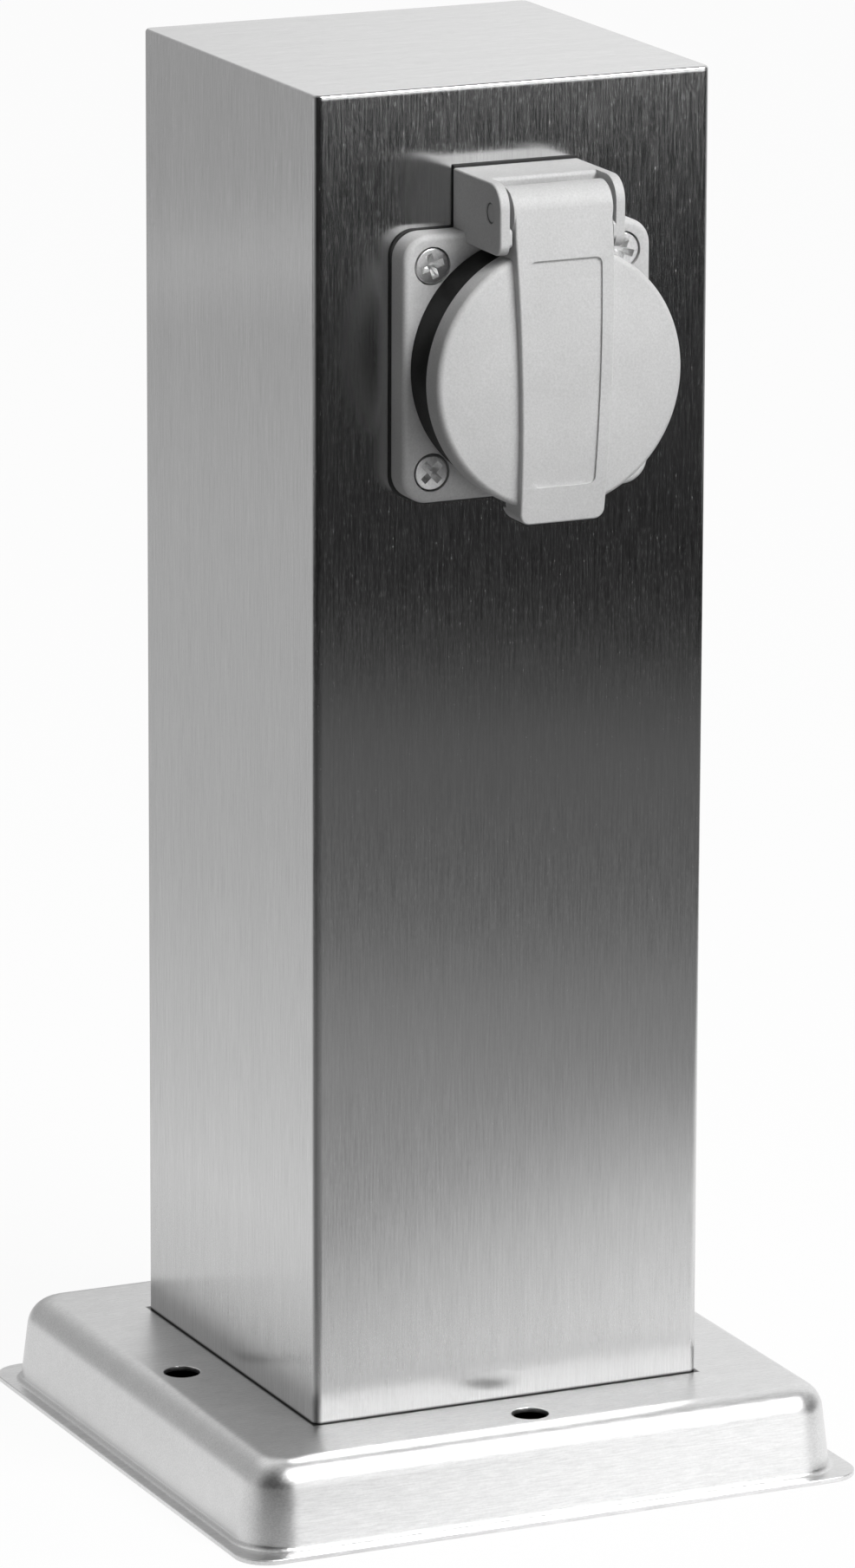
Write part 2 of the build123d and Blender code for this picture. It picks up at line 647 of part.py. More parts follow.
def pole_contact(side):
    """Slit sleeve for one plug pin with a flat terminal tail above it, one brass piece."""
    sleeve_front = CARRIER_FACE - SLEEVE_START
    centre_x = side * PIN_SPACING / 2
    with BuildPart() as contact:
        with BuildSketch(front_plane(sleeve_front)):
            with Locations((centre_x, 0)):
                Circle(SLEEVE_R)
        extrude(amount=-(sleeve_front + TERMINAL_FLOOR + CONTACT_SHEET))
        with BuildSketch(front_plane(-TERMINAL_FLOOR)):
            tail_top = LIVE_TERMINAL_HEIGHT + TERMINAL_HALF
            with Locations((centre_x, tail_top / 2)):
                Rectangle(2 * TERMINAL_HALF, tail_top)
        extrude(amount=-CONTACT_SHEET)
        with BuildSketch(front_plane(sleeve_front)):
            with Locations((centre_x, 0)):
                Circle(SLEEVE_BORE_R)
            with Locations((centre_x + side * SLEEVE_R, 0)):
                Rectangle(2 * SLEEVE_R, SLEEVE_SLIT)
        extrude(amount=-(sleeve_front + TERMINAL_FLOOR + CONTACT_SHEET), mode=Mode.SUBTRACT)
        with BuildSketch(front_plane(-TERMINAL_FLOOR)):
            with Locations((centre_x, LIVE_TERMINAL_HEIGHT)):
                Circle(TERMINAL_SCREW_R)
        extrude(amount=-CONTACT_SHEET, mode=Mode.SUBTRACT)
    return contact


live_contact = pole_contact(-1)
save("live_contact", live_contact)
neutral_contact = pole_contact(1)
save("neutral_contact", neutral_contact)

# Earth bracket: a strap behind the floor, two clips in the recess and a tab to its terminal.
strap_middle = CARRIER_FACE - CONTACT_SHEET / 2
with BuildPart() as earth_bracket:
    with BuildSketch(side_plane()):
        with BuildLine():
            FilletPolyline(
                (EARTH_TIP_FORWARD, -EARTH_TIP_HEIGHT),
                (EARTH_NOSE_FORWARD, -EARTH_NOSE_HEIGHT),
                (EARTH_ARM_STRAIGHT, -EARTH_ARM_HEIGHT),
                (strap_middle, -EARTH_ARM_HEIGHT),
                (strap_middle, EARTH_ARM_HEIGHT),
                (EARTH_ARM_STRAIGHT, EARTH_ARM_HEIGHT),
                (EARTH_NOSE_FORWARD, EARTH_NOSE_HEIGHT),
                (EARTH_TIP_FORWARD, EARTH_TIP_HEIGHT),
                radius=EARTH_ARM_BEND,
            )
        trace(line_width=CONTACT_SHEET)
    extrude(amount=EARTH_STRAP_WIDTH / 2, both=True)
    with BuildSketch(side_plane()):
        with Locations(((CARRIER_FACE - TERMINAL_FLOOR) / 2, tab_level - CONTACT_SHEET / 2)):
            Rectangle(TERMINAL_FLOOR + CARRIER_FACE, CONTACT_SHEET)
        with Locations((-TERMINAL_FLOOR - CONTACT_SHEET / 2, -EARTH_TERMINAL_DROP)):
            Rectangle(CONTACT_SHEET, 2 * TERMINAL_HALF)
    extrude(amount=TERMINAL_HALF, both=True)
    with BuildSketch(front_plane(CARRIER_FACE)):
        Circle(CENTRE_SCREW_R)
    extrude(amount=-CONTACT_SHEET, mode=Mode.SUBTRACT)
    with BuildSketch(front_plane(-TERMINAL_FLOOR)):
        with Locations((0, -EARTH_TERMINAL_DROP)):
            Circle(TERMINAL_SCREW_R)
    extrude(amount=-CONTACT_SHEET, mode=Mode.SUBTRACT)
save("earth_bracket", earth_bracket)

# Centre screw that draws the carrier up behind the insert.
with BuildPart() as centre_screw:
    with BuildSketch(turning_plane()):
        with BuildLine():
            Polyline(
                (0, INSERT_FLOOR),
                (CENTRE_SCREW_HEAD_R, INSERT_FLOOR),
                (CENTRE_SCREW_R, INSERT_FLOOR - CENTRE_SCREW_HEAD),
                (CENTRE_SCREW_R, INSERT_FLOOR - CENTRE_SCREW_LENGTH),
                (0, INSERT_FLOOR - CENTRE_SCREW_LENGTH),
                close=True,
            )
        make_face()
    revolve(axis=socket_axis())
save("centre_screw", centre_screw)

# Clamp plates on the three terminals, and the screws through them.
CLAMP_SEAT = -(TERMINAL_FLOOR + CONTACT_SHEET)
with BuildPart() as clamp_plates:
    with BuildSketch(front_plane(CLAMP_SEAT)):
        with Locations(*TERMINAL_SPOTS):
            RectangleRounded(2 * CLAMP_PLATE_HALF, 2 * CLAMP_PLATE_HALF, CLAMP_PLATE_CORNER)
            Circle(TERMINAL_SCREW_R, mode=Mode.SUBTRACT)
    extrude(amount=-CLAMP_PLATE)
save("clamp_plates", clamp_plates)

SCREW_SEAT = CLAMP_SEAT - CLAMP_PLATE
with BuildPart() as terminal_screws:
    for spot in TERMINAL_SPOTS:
        earth = spot[1] < 0
        seat = SCREW_SEAT - (CONTACT_SHEET if earth else 0.0)
        with BuildSketch(front_plane(seat)):
            with Locations(spot):
                Circle(TERMINAL_SCREW_HEAD_R)
        extrude(amount=-TERMINAL_SCREW_HEAD)
        with BuildSketch(front_plane(seat)):
            with Locations(spot):
                Circle(TERMINAL_SCREW_R)
        extrude(amount=TERMINAL_SCREW_REACH)
save("terminal_screws", terminal_screws)

# Ring lugs of the bonding lead: one under the earth terminal's screw, one on the stud.
EARTH_TERMINAL_Z = SOCKET_HEIGHT - EARTH_TERMINAL_DROP
LEAD_TOP = EARTH_TERMINAL_Z - LUG_R - LUG_TONGUE
LEAD_LOW_Z = LUG_SEAT + CONTACT_SHEET / 2
LEAD_END_X = STUD_X - LUG_R - LUG_TONGUE - LUG_BARREL
with BuildPart() as lead_lugs:
    with BuildSketch(front_plane(SCREW_SEAT, -EARTH_TERMINAL_DROP)):
        Circle(LUG_R)
        with Locations((0, -(LUG_R + LUG_TONGUE) / 2)):
            Rectangle(2 * LUG_BARREL_R, LUG_R + LUG_TONGUE)
        Circle(TERMINAL_SCREW_R, mode=Mode.SUBTRACT)
    extrude(amount=-CONTACT_SHEET)
    with BuildSketch(Plane(origin=(0, STUD_Y, LEAD_TOP), z_dir=(0, 0, -1))):
        Circle(LUG_BARREL_R)
    extrude(amount=LUG_BARREL)
    with BuildSketch(Plane.XY.offset(LUG_SEAT)):
        with Locations((STUD_X, STUD_Y)):
            Circle(LUG_R)
        with Locations((STUD_X - (LUG_R + LUG_TONGUE) / 2, STUD_Y)):
            Rectangle(LUG_R + LUG_TONGUE, 2 * LUG_BARREL_R)
        with Locations((STUD_X, STUD_Y)):
            Circle(M4_THREAD_R, mode=Mode.SUBTRACT)
    extrude(amount=CONTACT_SHEET)
    with BuildSketch(Plane(origin=(LEAD_END_X, STUD_Y, LEAD_LOW_Z), z_dir=(1, 0, 0))):
        Circle(LUG_BARREL_R)
    extrude(amount=LUG_BARREL)
save("lead_lugs", lead_lugs)

# Bonding lead: straight down inside the column, then one bend toward the stud.
with BuildPart() as bonding_lead:
    lead_start_z = LEAD_TOP - LUG_BARREL
    with BuildLine() as lead_route:
        Line((0, STUD_Y, lead_start_z), (0, STUD_Y, LEAD_LOW_Z + LEAD_BEND))
        RadiusArc(
            (0, STUD_Y, LEAD_LOW_Z + LEAD_BEND), (LEAD_BEND, STUD_Y, LEAD_LOW_Z), LEAD_BEND
        )
        Line((LEAD_BEND, STUD_Y, LEAD_LOW_Z), (LEAD_END_X, STUD_Y, LEAD_LOW_Z))
    with BuildSketch(Plane(origin=(0, STUD_Y, lead_start_z), z_dir=(0, 0, -1))):
        Circle(LEAD_R)
    sweep(path=lead_route.line)
save("bonding_lead", bonding_lead)

# Strap of the lid: bowed in side view, tapered in front view, with the finger tab below.
# The bow's radius makes it run smoothly into the hinge barrel.
bow_rise = HINGE_HEIGHT - STRAP_PEAK_HEIGHT
bow_reach = STRAP_PEAK - HINGE_FORWARD
arch_radius = (bow_reach**2 + bow_rise**2 - BARREL_R**2) / (2 * (bow_reach - BARREL_R))
arch_centre = STRAP_PEAK - arch_radius
arch_top = STRAP_PEAK_HEIGHT + bow_rise * arch_radius / (arch_radius - BARREL_R)


def arch_forward(height):
    """Depth of the strap's bowed front at a height above the socket's centre."""
    return arch_centre + math.sqrt(arch_radius**2 - (height - STRAP_PEAK_HEIGHT) ** 2)


with BuildPart() as strap:
    with BuildSketch(side_plane()):
        with BuildLine():
            top_point = (arch_forward(arch_top), arch_top)
            bottom_point = (arch_forward(STRAP_BOTTOM), STRAP_BOTTOM)
            ThreePointArc(top_point, (STRAP_PEAK, STRAP_PEAK_HEIGHT), bottom_point)
            Polyline(
                bottom_point,
                (TAB_BACK + TAB_CORNER, STRAP_BOTTOM),
                (TAB_BACK, STRAP_BOTTOM + TAB_CORNER),
                (TAB_BACK, TAB_TOP),
                (LID_RIM_BACK, TAB_TOP),
                (LID_RIM_BACK, arch_top),
                top_point,
            )
        make_face()
    extrude(amount=STRAP_HALF_TOP + CUT_MARGIN, both=True)
    with BuildSketch(front_plane(TAB_BACK - CUT_MARGIN)):
        with BuildLine():
            outline = FilletPolyline(
                (-STRAP_HALF_TOP, arch_top + CUT_MARGIN),
                (-STRAP_HALF_TOP, STRAP_TAPER_START),
                (-STRAP_HALF_BOTTOM, STRAP_BOTTOM),
                (STRAP_HALF_BOTTOM, STRAP_BOTTOM),
                (STRAP_HALF_TOP, STRAP_TAPER_START),
                (STRAP_HALF_TOP, arch_top + CUT_MARGIN),
                radius=STRAP_CORNER,
            )
            Line(outline @ 1, outline @ 0)
        make_face()
    extrude(amount=STRAP_PEAK - TAB_BACK + 2 * CUT_MARGIN, mode=Mode.INTERSECT)
    front_of_strap = strap.faces().sort_by(Axis.Y)[0]
    strap_rim = front_of_strap.edges().filter_by(
        lambda edge: edge.center().Z < SOCKET_HEIGHT + STRAP_TAPER_START
    )
    fillet(strap_rim, STRAP_EDGE)

# Recessed panel on the strap, the same depth all over the bowed front.
with BuildPart() as panel_recess:
    with BuildSketch(front_plane(LID_POCKET)):
        with BuildLine():
            FilletPolyline(
                (-PANEL_HALF_TOP, PANEL_TOP),
                (-PANEL_HALF_BOTTOM, PANEL_BOTTOM),
                (PANEL_HALF_BOTTOM, PANEL_BOTTOM),
                (PANEL_HALF_TOP, PANEL_TOP),
                radius=PANEL_CORNER,
                close=True,
            )
        make_face()
    extrude(amount=STRAP_PEAK - LID_POCKET + CUT_MARGIN)
    with BuildSketch(side_plane()):
        with Locations((arch_centre, STRAP_PEAK_HEIGHT)):
            Circle(arch_radius - PANEL_DEPTH)
    extrude(amount=STRAP_HALF_TOP, both=True, mode=Mode.SUBTRACT)

dome_edge = LID_FACE - LID_DOME_R + math.sqrt(LID_DOME_R**2 - LID_R**2)
with BuildPart() as lid:
    with BuildSketch(turning_plane(-LID_DROP)):
        with BuildLine():
            Polyline((0, LID_FACE), (0, LID_RIM_BACK), (LID_R, LID_RIM_BACK), (LID_R, dome_edge))
            dome_half_angle = math.asin(LID_R / LID_DOME_R) / 2
            dome_middle = (
                LID_DOME_R * math.sin(dome_half_angle),
                LID_FACE - LID_DOME_R * (1 - math.cos(dome_half_angle)),
            )
            ThreePointArc((LID_R, dome_edge), dome_middle, (0, LID_FACE))
        face_half = make_face()
        fillet(face_half.vertices().sort_by(Axis.X)[-1:], LID_FACE_EDGE_R)
    revolve(axis=socket_axis(-LID_DROP))
    add(strap.part)
    add(panel_recess.part, mode=Mode.SUBTRACT)
    with BuildSketch(side_plane()):
        with Locations((HINGE_FORWARD, HINGE_HEIGHT)):
            Circle(BARREL_R)
    extrude(amount=BARREL_HALF, both=True)
    with BuildSketch(front_plane(LID_RIM_BACK, -LID_DROP)):
        Circle(LID_SKIRT_BORE_R)
    extrude(amount=LID_SEAT - LID_RIM_BACK, mode=Mode.SUBTRACT)
    with BuildSketch(front_plane(LID_SEAT, -LID_DROP)):
        Circle(LID_POCKET_R)
    extrude(amount=LID_POCKET - LID_SEAT, mode=Mode.SUBTRACT)
    with BuildSketch(side_plane()):
        with Locations((HINGE_FORWARD, HINGE_HEIGHT)):
            Circle(HINGE_PIN_R + HINGE_RUNNING)
    extrude(amount=BARREL_HALF, both=True, mode=Mode.SUBTRACT)
    # Pocket for the spring. It is open to the back, and a little over the top as well, so that
    # the spring's rear leg has room while the lid turns. A small hole takes the front leg.
    with BuildSketch(side_plane()):
        with Locations((HINGE_FORWARD, HINGE_HEIGHT)):
            Circle(SPRING_POCKET_R)
        with Locations((HINGE_FORWARD - SPRING_POCKET_R, HINGE_HEIGHT)):
            Rectangle(2 * SPRING_POCKET_R, 2 * SPRING_POCKET_R)
        with Locations((HINGE_FORWARD - SPRING_MOUTH - BARREL_R / 2, HINGE_HEIGHT + BARREL_R / 2)):
            Rectangle(BARREL_R, BARREL_R)
    extrude(amount=SPRING_POCKET_HALF, both=True, mode=Mode.SUBTRACT)
    with BuildSketch(front_plane(HINGE_FORWARD)):
        with Locations((SPRING_LENGTH / 2, HINGE_HEIGHT - SPRING_COIL_R)):
            Circle(SPRING_HOLE_R)
    extrude(amount=SPRING_LEG_FRONT + SPRING_HOLE_R, mode=Mode.SUBTRACT)
save("lid", lid)

# Rubber ring in the lid that meets the rim of the insert's spigot.
with BuildPart() as lid_seal:
    with BuildSketch(front_plane(LID_SEAT - LID_SEAL, -LID_DROP)):
        Circle(LID_SEAL_OUTER_R)
        Circle(LID_SEAL_INNER_R, mode=Mode.SUBTRACT)
    extrude(amount=LID_SEAL)
save("lid_seal", lid_seal)

# Hinge pin, its ends a little below the outside of the cheeks.
with BuildPart() as hinge_pin:
    with BuildSketch(side_plane()):
        with Locations((HINGE_FORWARD, HINGE_HEIGHT)):
            Circle(HINGE_PIN_R)
    extrude(amount=HOUSING_HALF - PIN_SINK, both=True)
save("hinge_pin", hinge_pin)

# Torsion spring: from the back block it winds round the pin under tension and ends in the lid.
with BuildPart() as lid_spring:
    pin_y = FACE_Y - HINGE_FORWARD
    pin_z = SOCKET_HEIGHT + HINGE_HEIGHT
    coil_steps = int(SPRING_TURNS * SPRING_STEPS)
    coil_points = []
    for step in range(coil_steps + 1):
        turned = 2 * math.pi * step / SPRING_STEPS
        coil_points.append(
            (
                SPRING_LENGTH * (step / coil_steps - 0.5),
                pin_y - SPRING_COIL_R * math.sin(turned),
                pin_z - SPRING_COIL_R * math.cos(turned),
            )
        )
    rear_end = (-SPRING_LENGTH / 2, pin_y + SPRING_LEG_BACK, pin_z - SPRING_COIL_R)
    front_end = (SPRING_LENGTH / 2, pin_y - SPRING_LEG_FRONT, pin_z - SPRING_COIL_R)
    with BuildLine() as spring_route:
        Polyline(rear_end, *coil_points, front_end)
    with BuildSketch(Plane(origin=rear_end, z_dir=(0, -1, 0))):
        RegularPolygon(SPRING_WIRE_R, 8)
    sweep(path=spring_route.line, transition=Transition.RIGHT)
save("lid_spring", lid_spring)
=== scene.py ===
# %% [markdown]
# # Garden socket
# The imported CAD model comes in first as a fixed frame: every piece already has its real size and
# place, in metres. Blender adds the finishes, the small turned and pressed details, the studio and
# the camera.

# %% Load the frame
import json
import math

import bpy
from mathutils import Matrix, Vector


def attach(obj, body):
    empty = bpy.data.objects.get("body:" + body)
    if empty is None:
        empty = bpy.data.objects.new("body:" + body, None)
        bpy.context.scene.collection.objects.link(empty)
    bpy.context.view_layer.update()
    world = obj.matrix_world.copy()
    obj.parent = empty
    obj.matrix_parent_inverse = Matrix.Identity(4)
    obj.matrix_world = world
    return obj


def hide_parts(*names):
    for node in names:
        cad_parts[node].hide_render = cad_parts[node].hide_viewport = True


MM = 0.001

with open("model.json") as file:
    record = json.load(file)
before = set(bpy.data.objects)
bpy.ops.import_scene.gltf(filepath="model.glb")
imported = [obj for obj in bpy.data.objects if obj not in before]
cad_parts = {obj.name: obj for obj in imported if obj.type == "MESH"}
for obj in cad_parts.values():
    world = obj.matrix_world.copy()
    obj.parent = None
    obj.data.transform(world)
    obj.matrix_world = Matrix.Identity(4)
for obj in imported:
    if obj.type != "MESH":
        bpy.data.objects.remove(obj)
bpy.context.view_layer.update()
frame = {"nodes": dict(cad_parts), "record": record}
nodes = frame["nodes"]

# %% [markdown]
# ## Sizes from the frame
# The finishes and the screws need to know where the steel ends: how wide and high the column is,
# and how high the base's top lies. These sizes could be typed in again, but then they would be
# wrong as soon as the CAD changes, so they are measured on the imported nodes.

# %% Sizes from the frame
def highest_corner(name):
    """The largest X, Y and Z that a CAD node reaches, in metres."""
    places = [corner.co for corner in nodes[name].data.vertices]
    return [max(place[axis] for place in places) for axis in range(3)]


column_corner = highest_corner("column_shell")
COLUMN_HALF = column_corner[0]
COLUMN_TOP = column_corner[2]
BASE_TOP = highest_corner("base_pan")[2]
print("column", round(2 * COLUMN_HALF / MM, 2), "mm wide, top at", round(COLUMN_TOP / MM, 2), "mm")
print("base's top at", round(BASE_TOP / MM, 2), "mm")

# %% [markdown]
# ## Camera
# The object was photographed from a little left and above, from nearly two metres, with a long
# lens. A camera can be aimed at a target, but here the azimuth, the elevation and the small roll
# were worked out from the column's edges, so the three axes of the camera are written from those
# angles. The lens is given by its focal length in pixels of the 986 x 1808 frame, and the lens
# shift puts the optical centre where it lay in that frame.

# %% Camera
IMAGE_WIDTH = 986
IMAGE_HEIGHT = 1808
CAMERA_AZIMUTH = math.radians(-24.711)
CAMERA_ELEVATION = math.radians(14.198)
CAMERA_ROLL = math.radians(0.193)
CAMERA_PLACE = Vector((-0.710045, -1.543874, 0.565048))
FOCAL_PIXELS = 10622.4
OPTICAL_CENTRE = (488.4, 863.5)
SENSOR = 36.0


def add_camera():
    """The photograph's camera, made the scene's camera."""
    back = Vector((
        math.sin(CAMERA_AZIMUTH) * math.cos(CAMERA_ELEVATION),
        -math.cos(CAMERA_AZIMUTH) * math.cos(CAMERA_ELEVATION),
        math.sin(CAMERA_ELEVATION),
    ))
    level_right = Vector((math.cos(CAMERA_AZIMUTH), math.sin(CAMERA_AZIMUTH), 0))
    level_up = back.cross(level_right)
    right = level_right * math.cos(CAMERA_ROLL) + level_up * math.sin(CAMERA_ROLL)
    up = level_up * math.cos(CAMERA_ROLL) - level_right * math.sin(CAMERA_ROLL)
    bpy.ops.object.camera_add(location=CAMERA_PLACE)
    camera = bpy.context.object
    camera.name = "photo_camera"
    turn = Matrix((right, up, back)).transposed().to_4x4()
    camera.matrix_world = Matrix.Translation(CAMERA_PLACE) @ turn
    camera.data.sensor_width = SENSOR
    camera.data.lens = FOCAL_PIXELS * SENSOR / IMAGE_HEIGHT
    camera.data.shift_x = (IMAGE_WIDTH / 2 - OPTICAL_CENTRE[0]) / IMAGE_HEIGHT
    camera.data.shift_y = (OPTICAL_CENTRE[1] - IMAGE_HEIGHT / 2) / IMAGE_HEIGHT
    bpy.context.scene.camera = camera
    return camera


photo_camera = add_camera()
print("lens", round(photo_camera.data.lens, 1), "mm")

# %% [markdown]
# ## Node helpers
# Every finish is a small tree of shader nodes. It could be clicked together in the shader editor,
# but then nobody could read it as text. A few helpers keep the trees short here: one starts a
# finish, one adds a node with its settings, one joins two values and one stretches a value from
# one range to another.

# %% Node helpers
def new_finish(name):
    """A material with its Principled shader, ready for nodes."""
    finish = bpy.data.materials.new(name)
    finish.use_nodes = True
    return finish, finish.node_tree, finish.node_tree.nodes["Principled BSDF"]


def add_node(tree, kind, **settings):
    """A node of one kind; settings are its properties."""
    node = tree.nodes.new(kind)
    for key, value in settings.items():
        setattr(node, key, value)
    return node


def combine(tree, operation, first, second=0):
    """Two values joined by one operation; either may be a plain number."""
    node = add_node(tree, "ShaderNodeMath", operation=operation)
    for socket, value in zip(node.inputs, (first, second)):
        if isinstance(value, (int, float)):
            socket.default_value = value
        else:
            tree.links.new(value, socket)
    return node.outputs["Value"]


def spread(tree, value, low, high, from_low=0.3, from_high=0.7):
    """A value between from_low and from_high, mapped to low ... high."""
    node = add_node(tree, "ShaderNodeMapRange")
    node.inputs["From Min"].default_value = from_low
    node.inputs["From Max"].default_value = from_high
    node.inputs["To Min"].default_value = low
    node.inputs["To Max"].default_value = high
    tree.links.new(value, node.inputs["Value"])
    return node.outputs["Result"]


print("node helpers ready")

# %% [markdown]
# ## Patterns
# Brushing, moulded grain and wear are all small irregular marks. Image textures could show them,
# but they need seams and a picture file. Noise needs neither. It has to stay fixed to its piece
# when the lid turns, so it reads Object coordinates, which are metres in the piece's own frame,
# and is stretched by a scale in cells per metre. Its value makes a grey tone or a small relief.

# %% Patterns
def stretched_noise(tree, scale, detail=3.0, roughness=0.55):
    """Noise on Object coordinates; scale is in cells per metre along X, Y and Z."""
    coordinates = add_node(tree, "ShaderNodeTexCoord")
    mapping = add_node(tree, "ShaderNodeMapping")
    mapping.inputs["Scale"].default_value = scale
    noise = add_node(tree, "ShaderNodeTexNoise")
    noise.inputs["Scale"].default_value = 1.0
    noise.inputs["Detail"].default_value = detail
    noise.inputs["Roughness"].default_value = roughness
    tree.links.new(coordinates.outputs["Object"], mapping.inputs["Vector"])
    tree.links.new(mapping.outputs["Vector"], noise.inputs["Vector"])
    return noise.outputs["Fac"]


def grey_from(tree, value, tint=(1.0, 1.0, 1.0)):
    """A colour with the value as its brightness."""
    node = add_node(tree, "ShaderNodeVectorMath", operation="SCALE")
    node.inputs[0].default_value = tint
    tree.links.new(value, node.inputs["Scale"])
    return node.outputs["Vector"]


def raise_surface(tree, shader, height, strength, distance):
    """Small relief from a height value."""
    bump = add_node(tree, "ShaderNodeBump")
    bump.inputs["Strength"].default_value = strength
    bump.inputs["Distance"].default_value = distance
    tree.links.new(height, bump.inputs["Height"])
    tree.links.new(bump.outputs["Normal"], shader.inputs["Normal"])
    return bump


print("pattern helpers ready")

# %% [markdown]
# ## Places and lines
# Where two real pieces meet there is a thin dark line, the shade in a gap of a tenth of a
# millimetre. The gap isn't modelled, so that shade is painted into the colour. It could be painted
# by hand, but a line that is worked out from the place of a point stays exact at any size: from its
# height, or from how far it reaches from the column's axis.

# %% Places and lines
def place_on_piece(tree):
    """The X, Y and Z of a point in the object's own frame, in metres."""
    coordinates = add_node(tree, "ShaderNodeTexCoord")
    parts = add_node(tree, "ShaderNodeSeparateXYZ")
    tree.links.new(coordinates.outputs["Object"], parts.inputs["Vector"])
    return parts.outputs["X"], parts.outputs["Y"], parts.outputs["Z"]


def reach_from_axis(tree):
    """How far a point reaches from the column's axis, across or along, whichever is more."""
    across, along = place_on_piece(tree)[:2]
    side = combine(tree, "ABSOLUTE", across)
    depth = combine(tree, "ABSOLUTE", along)
    return combine(tree, "MAXIMUM", side, depth)


def darken_along(tree, brightness, line, left_over):
    """The brightness, of which only a share is left over where the line is 1."""
    share = spread(tree, line(tree), 1.0, left_over, 0, 1)
    return combine(tree, "MULTIPLY", brightness, share)


print("place helpers ready")

# %% [markdown]
# ## Brushed stainless steel
# The column is stainless sheet brushed along its length. Brushing leaves fine scratches that all
# run one way, so a reflection is smeared across them and stays sharper along them. A scanned
# picture of steel would show its seams and repeat, so the scratches are noise, stretched the way
# the belt ran, in three sizes: fine scratches, short flecks and broad soft streaks. The same
# noise is the relief and the small changes of tone, and the deepest flecks are a little rougher,
# so that they glint. The smear is the shader's own anisotropy.

# %% Brushed finish
FINE_TONES = (0.91, 1.09)
FLECK_TONES = (0.96, 1.04)
STREAK_TONES = (0.98, 1.02)
GLOSS_CHANGE = 0.03
DEEP_FLECKS = (0.52, 0.75)
SCRATCH_DEPTH = 0.05 * MM
# Share of the steel's colour left where painted shade at a joint or bend is full.
PAINTED_SHADE_LEFT_OVER = 0.12


def steel_finish(name, tone, roughness, fine, flecks, streaks, relief, smear=0.0,
                 glints=0.0, painted_shade=None, dulling=None, roll=None):
    """Brushed steel; fine, flecks and streaks are noise scales along X, Y and Z.

    smear is how much further a reflection spreads level than upright, and glints how much rougher
    the deepest flecks are, which then catch light from all sides. The shade function gives the share
    of painted shade, from 0 to 1, which darkens the colour where shade falls at a joint or along a
    bend; dulling is one that gives how much rougher the steel is at a place, and roll one that gives
    how far the sheet has sunk there.
    """
    finish, tree, shader = new_finish(name)
    scratch = stretched_noise(tree, fine, detail=2.0)
    fleck = stretched_noise(tree, flecks, detail=2.0)
    streak = stretched_noise(tree, streaks, detail=2.0)
    tones = combine(
        tree, "MULTIPLY", spread(tree, scratch, *FINE_TONES), spread(tree, fleck, *FLECK_TONES)
    )
    tones = combine(tree, "MULTIPLY", tones, spread(tree, streak, *STREAK_TONES))
    brightness = combine(tree, "MULTIPLY", tones, tone)
    # Painted shade: the colour is darkened along joints and bends, where shade falls.
    if painted_shade is not None:
        brightness = darken_along(tree, brightness, painted_shade, PAINTED_SHADE_LEFT_OVER)
    tree.links.new(grey_from(tree, brightness), shader.inputs["Base Color"])
    gloss = spread(tree, scratch, roughness - GLOSS_CHANGE, roughness + GLOSS_CHANGE)
    gloss = combine(tree, "ADD", gloss, spread(tree, fleck, 0, glints, *DEEP_FLECKS))
    if dulling is not None:
        gloss = combine(tree, "ADD", gloss, dulling(tree))
    tree.links.new(gloss, shader.inputs["Roughness"])
    shader.inputs["Metallic"].default_value = 1.0
    shader.inputs["Anisotropic"].default_value = smear
    scratches = combine(tree, "ADD", scratch, fleck)
    brushing = raise_surface(tree, shader, scratches, relief, SCRATCH_DEPTH)
    if roll is not None:
        sunk = add_node(tree, "ShaderNodeBump")
        sunk.inputs["Distance"].default_value = 1.0
        tree.links.new(roll(tree), sunk.inputs["Height"])
        tree.links.new(sunk.outputs["Normal"], brushing.inputs["Normal"])
    return finish


print("brushed finish ready")

# %% [markdown]
# ## Marks of bending and fitting
# Folded sheet isn't a perfect box. Below the folded top edge the faces curve inward over the last
# millimetre, which gives a soft bright line under the edge. The front left bend is darker, with
# painted shade along the bend. The belt can't run right down to the foot, so the steel is duller
# there, and a dark line of painted shade runs where the column stands on the base, the shade in the
# joint. A modelled gap would change the CAD pieces, so these marks are values in the finish, worked
# out from the place of a point on the piece.

# %% Marks on column and base
ROLL_HEIGHT = 1.2 * MM
ROLL_RADIUS = 22.0 * MM
# Width of the painted shade at the column's foot, on the column and on the base.
FOOT_SHADE_WIDTH = 0.6 * MM
BEND = 1.6 * MM
LINE_CORE = 0.3
# Share of painted shade along the front left bend.
BEND_PAINTED_SHADE = 0.6
FOOT_DULLING = 0.14
DULL_UP_TO = 4.0 * MM
BRUSHED_FROM = 34.0 * MM


def rolled_in(tree):
    """Minus the sag of a curve of ROLL_RADIUS, which starts ROLL_HEIGHT below the top."""
    height = place_on_piece(tree)[2]
    above_start = combine(tree, "SUBTRACT", height, COLUMN_TOP - ROLL_HEIGHT)
    into_roll = combine(tree, "MAXIMUM", above_start, 0)
    squared = combine(tree, "POWER", into_roll, 2)
    return combine(tree, "MULTIPLY", squared, -1 / (2 * ROLL_RADIUS))


def column_painted_shade(tree):
    """Share of painted shade: 1 at the very foot of the column, and the bend's smaller share along
    its front left bend.
    """
    across, along, height = place_on_piece(tree)
    foot = spread(tree, height, 1, 0, BASE_TOP + LINE_CORE * FOOT_SHADE_WIDTH, BASE_TOP + FOOT_SHADE_WIDTH)
    towards_bend = combine(tree, "MAXIMUM", across, along)
    bend = spread(
        tree, towards_bend, BEND_PAINTED_SHADE, 0,
        -COLUMN_HALF + LINE_CORE * BEND, -COLUMN_HALF + BEND,
    )
    return combine(tree, "MAXIMUM", foot, bend)


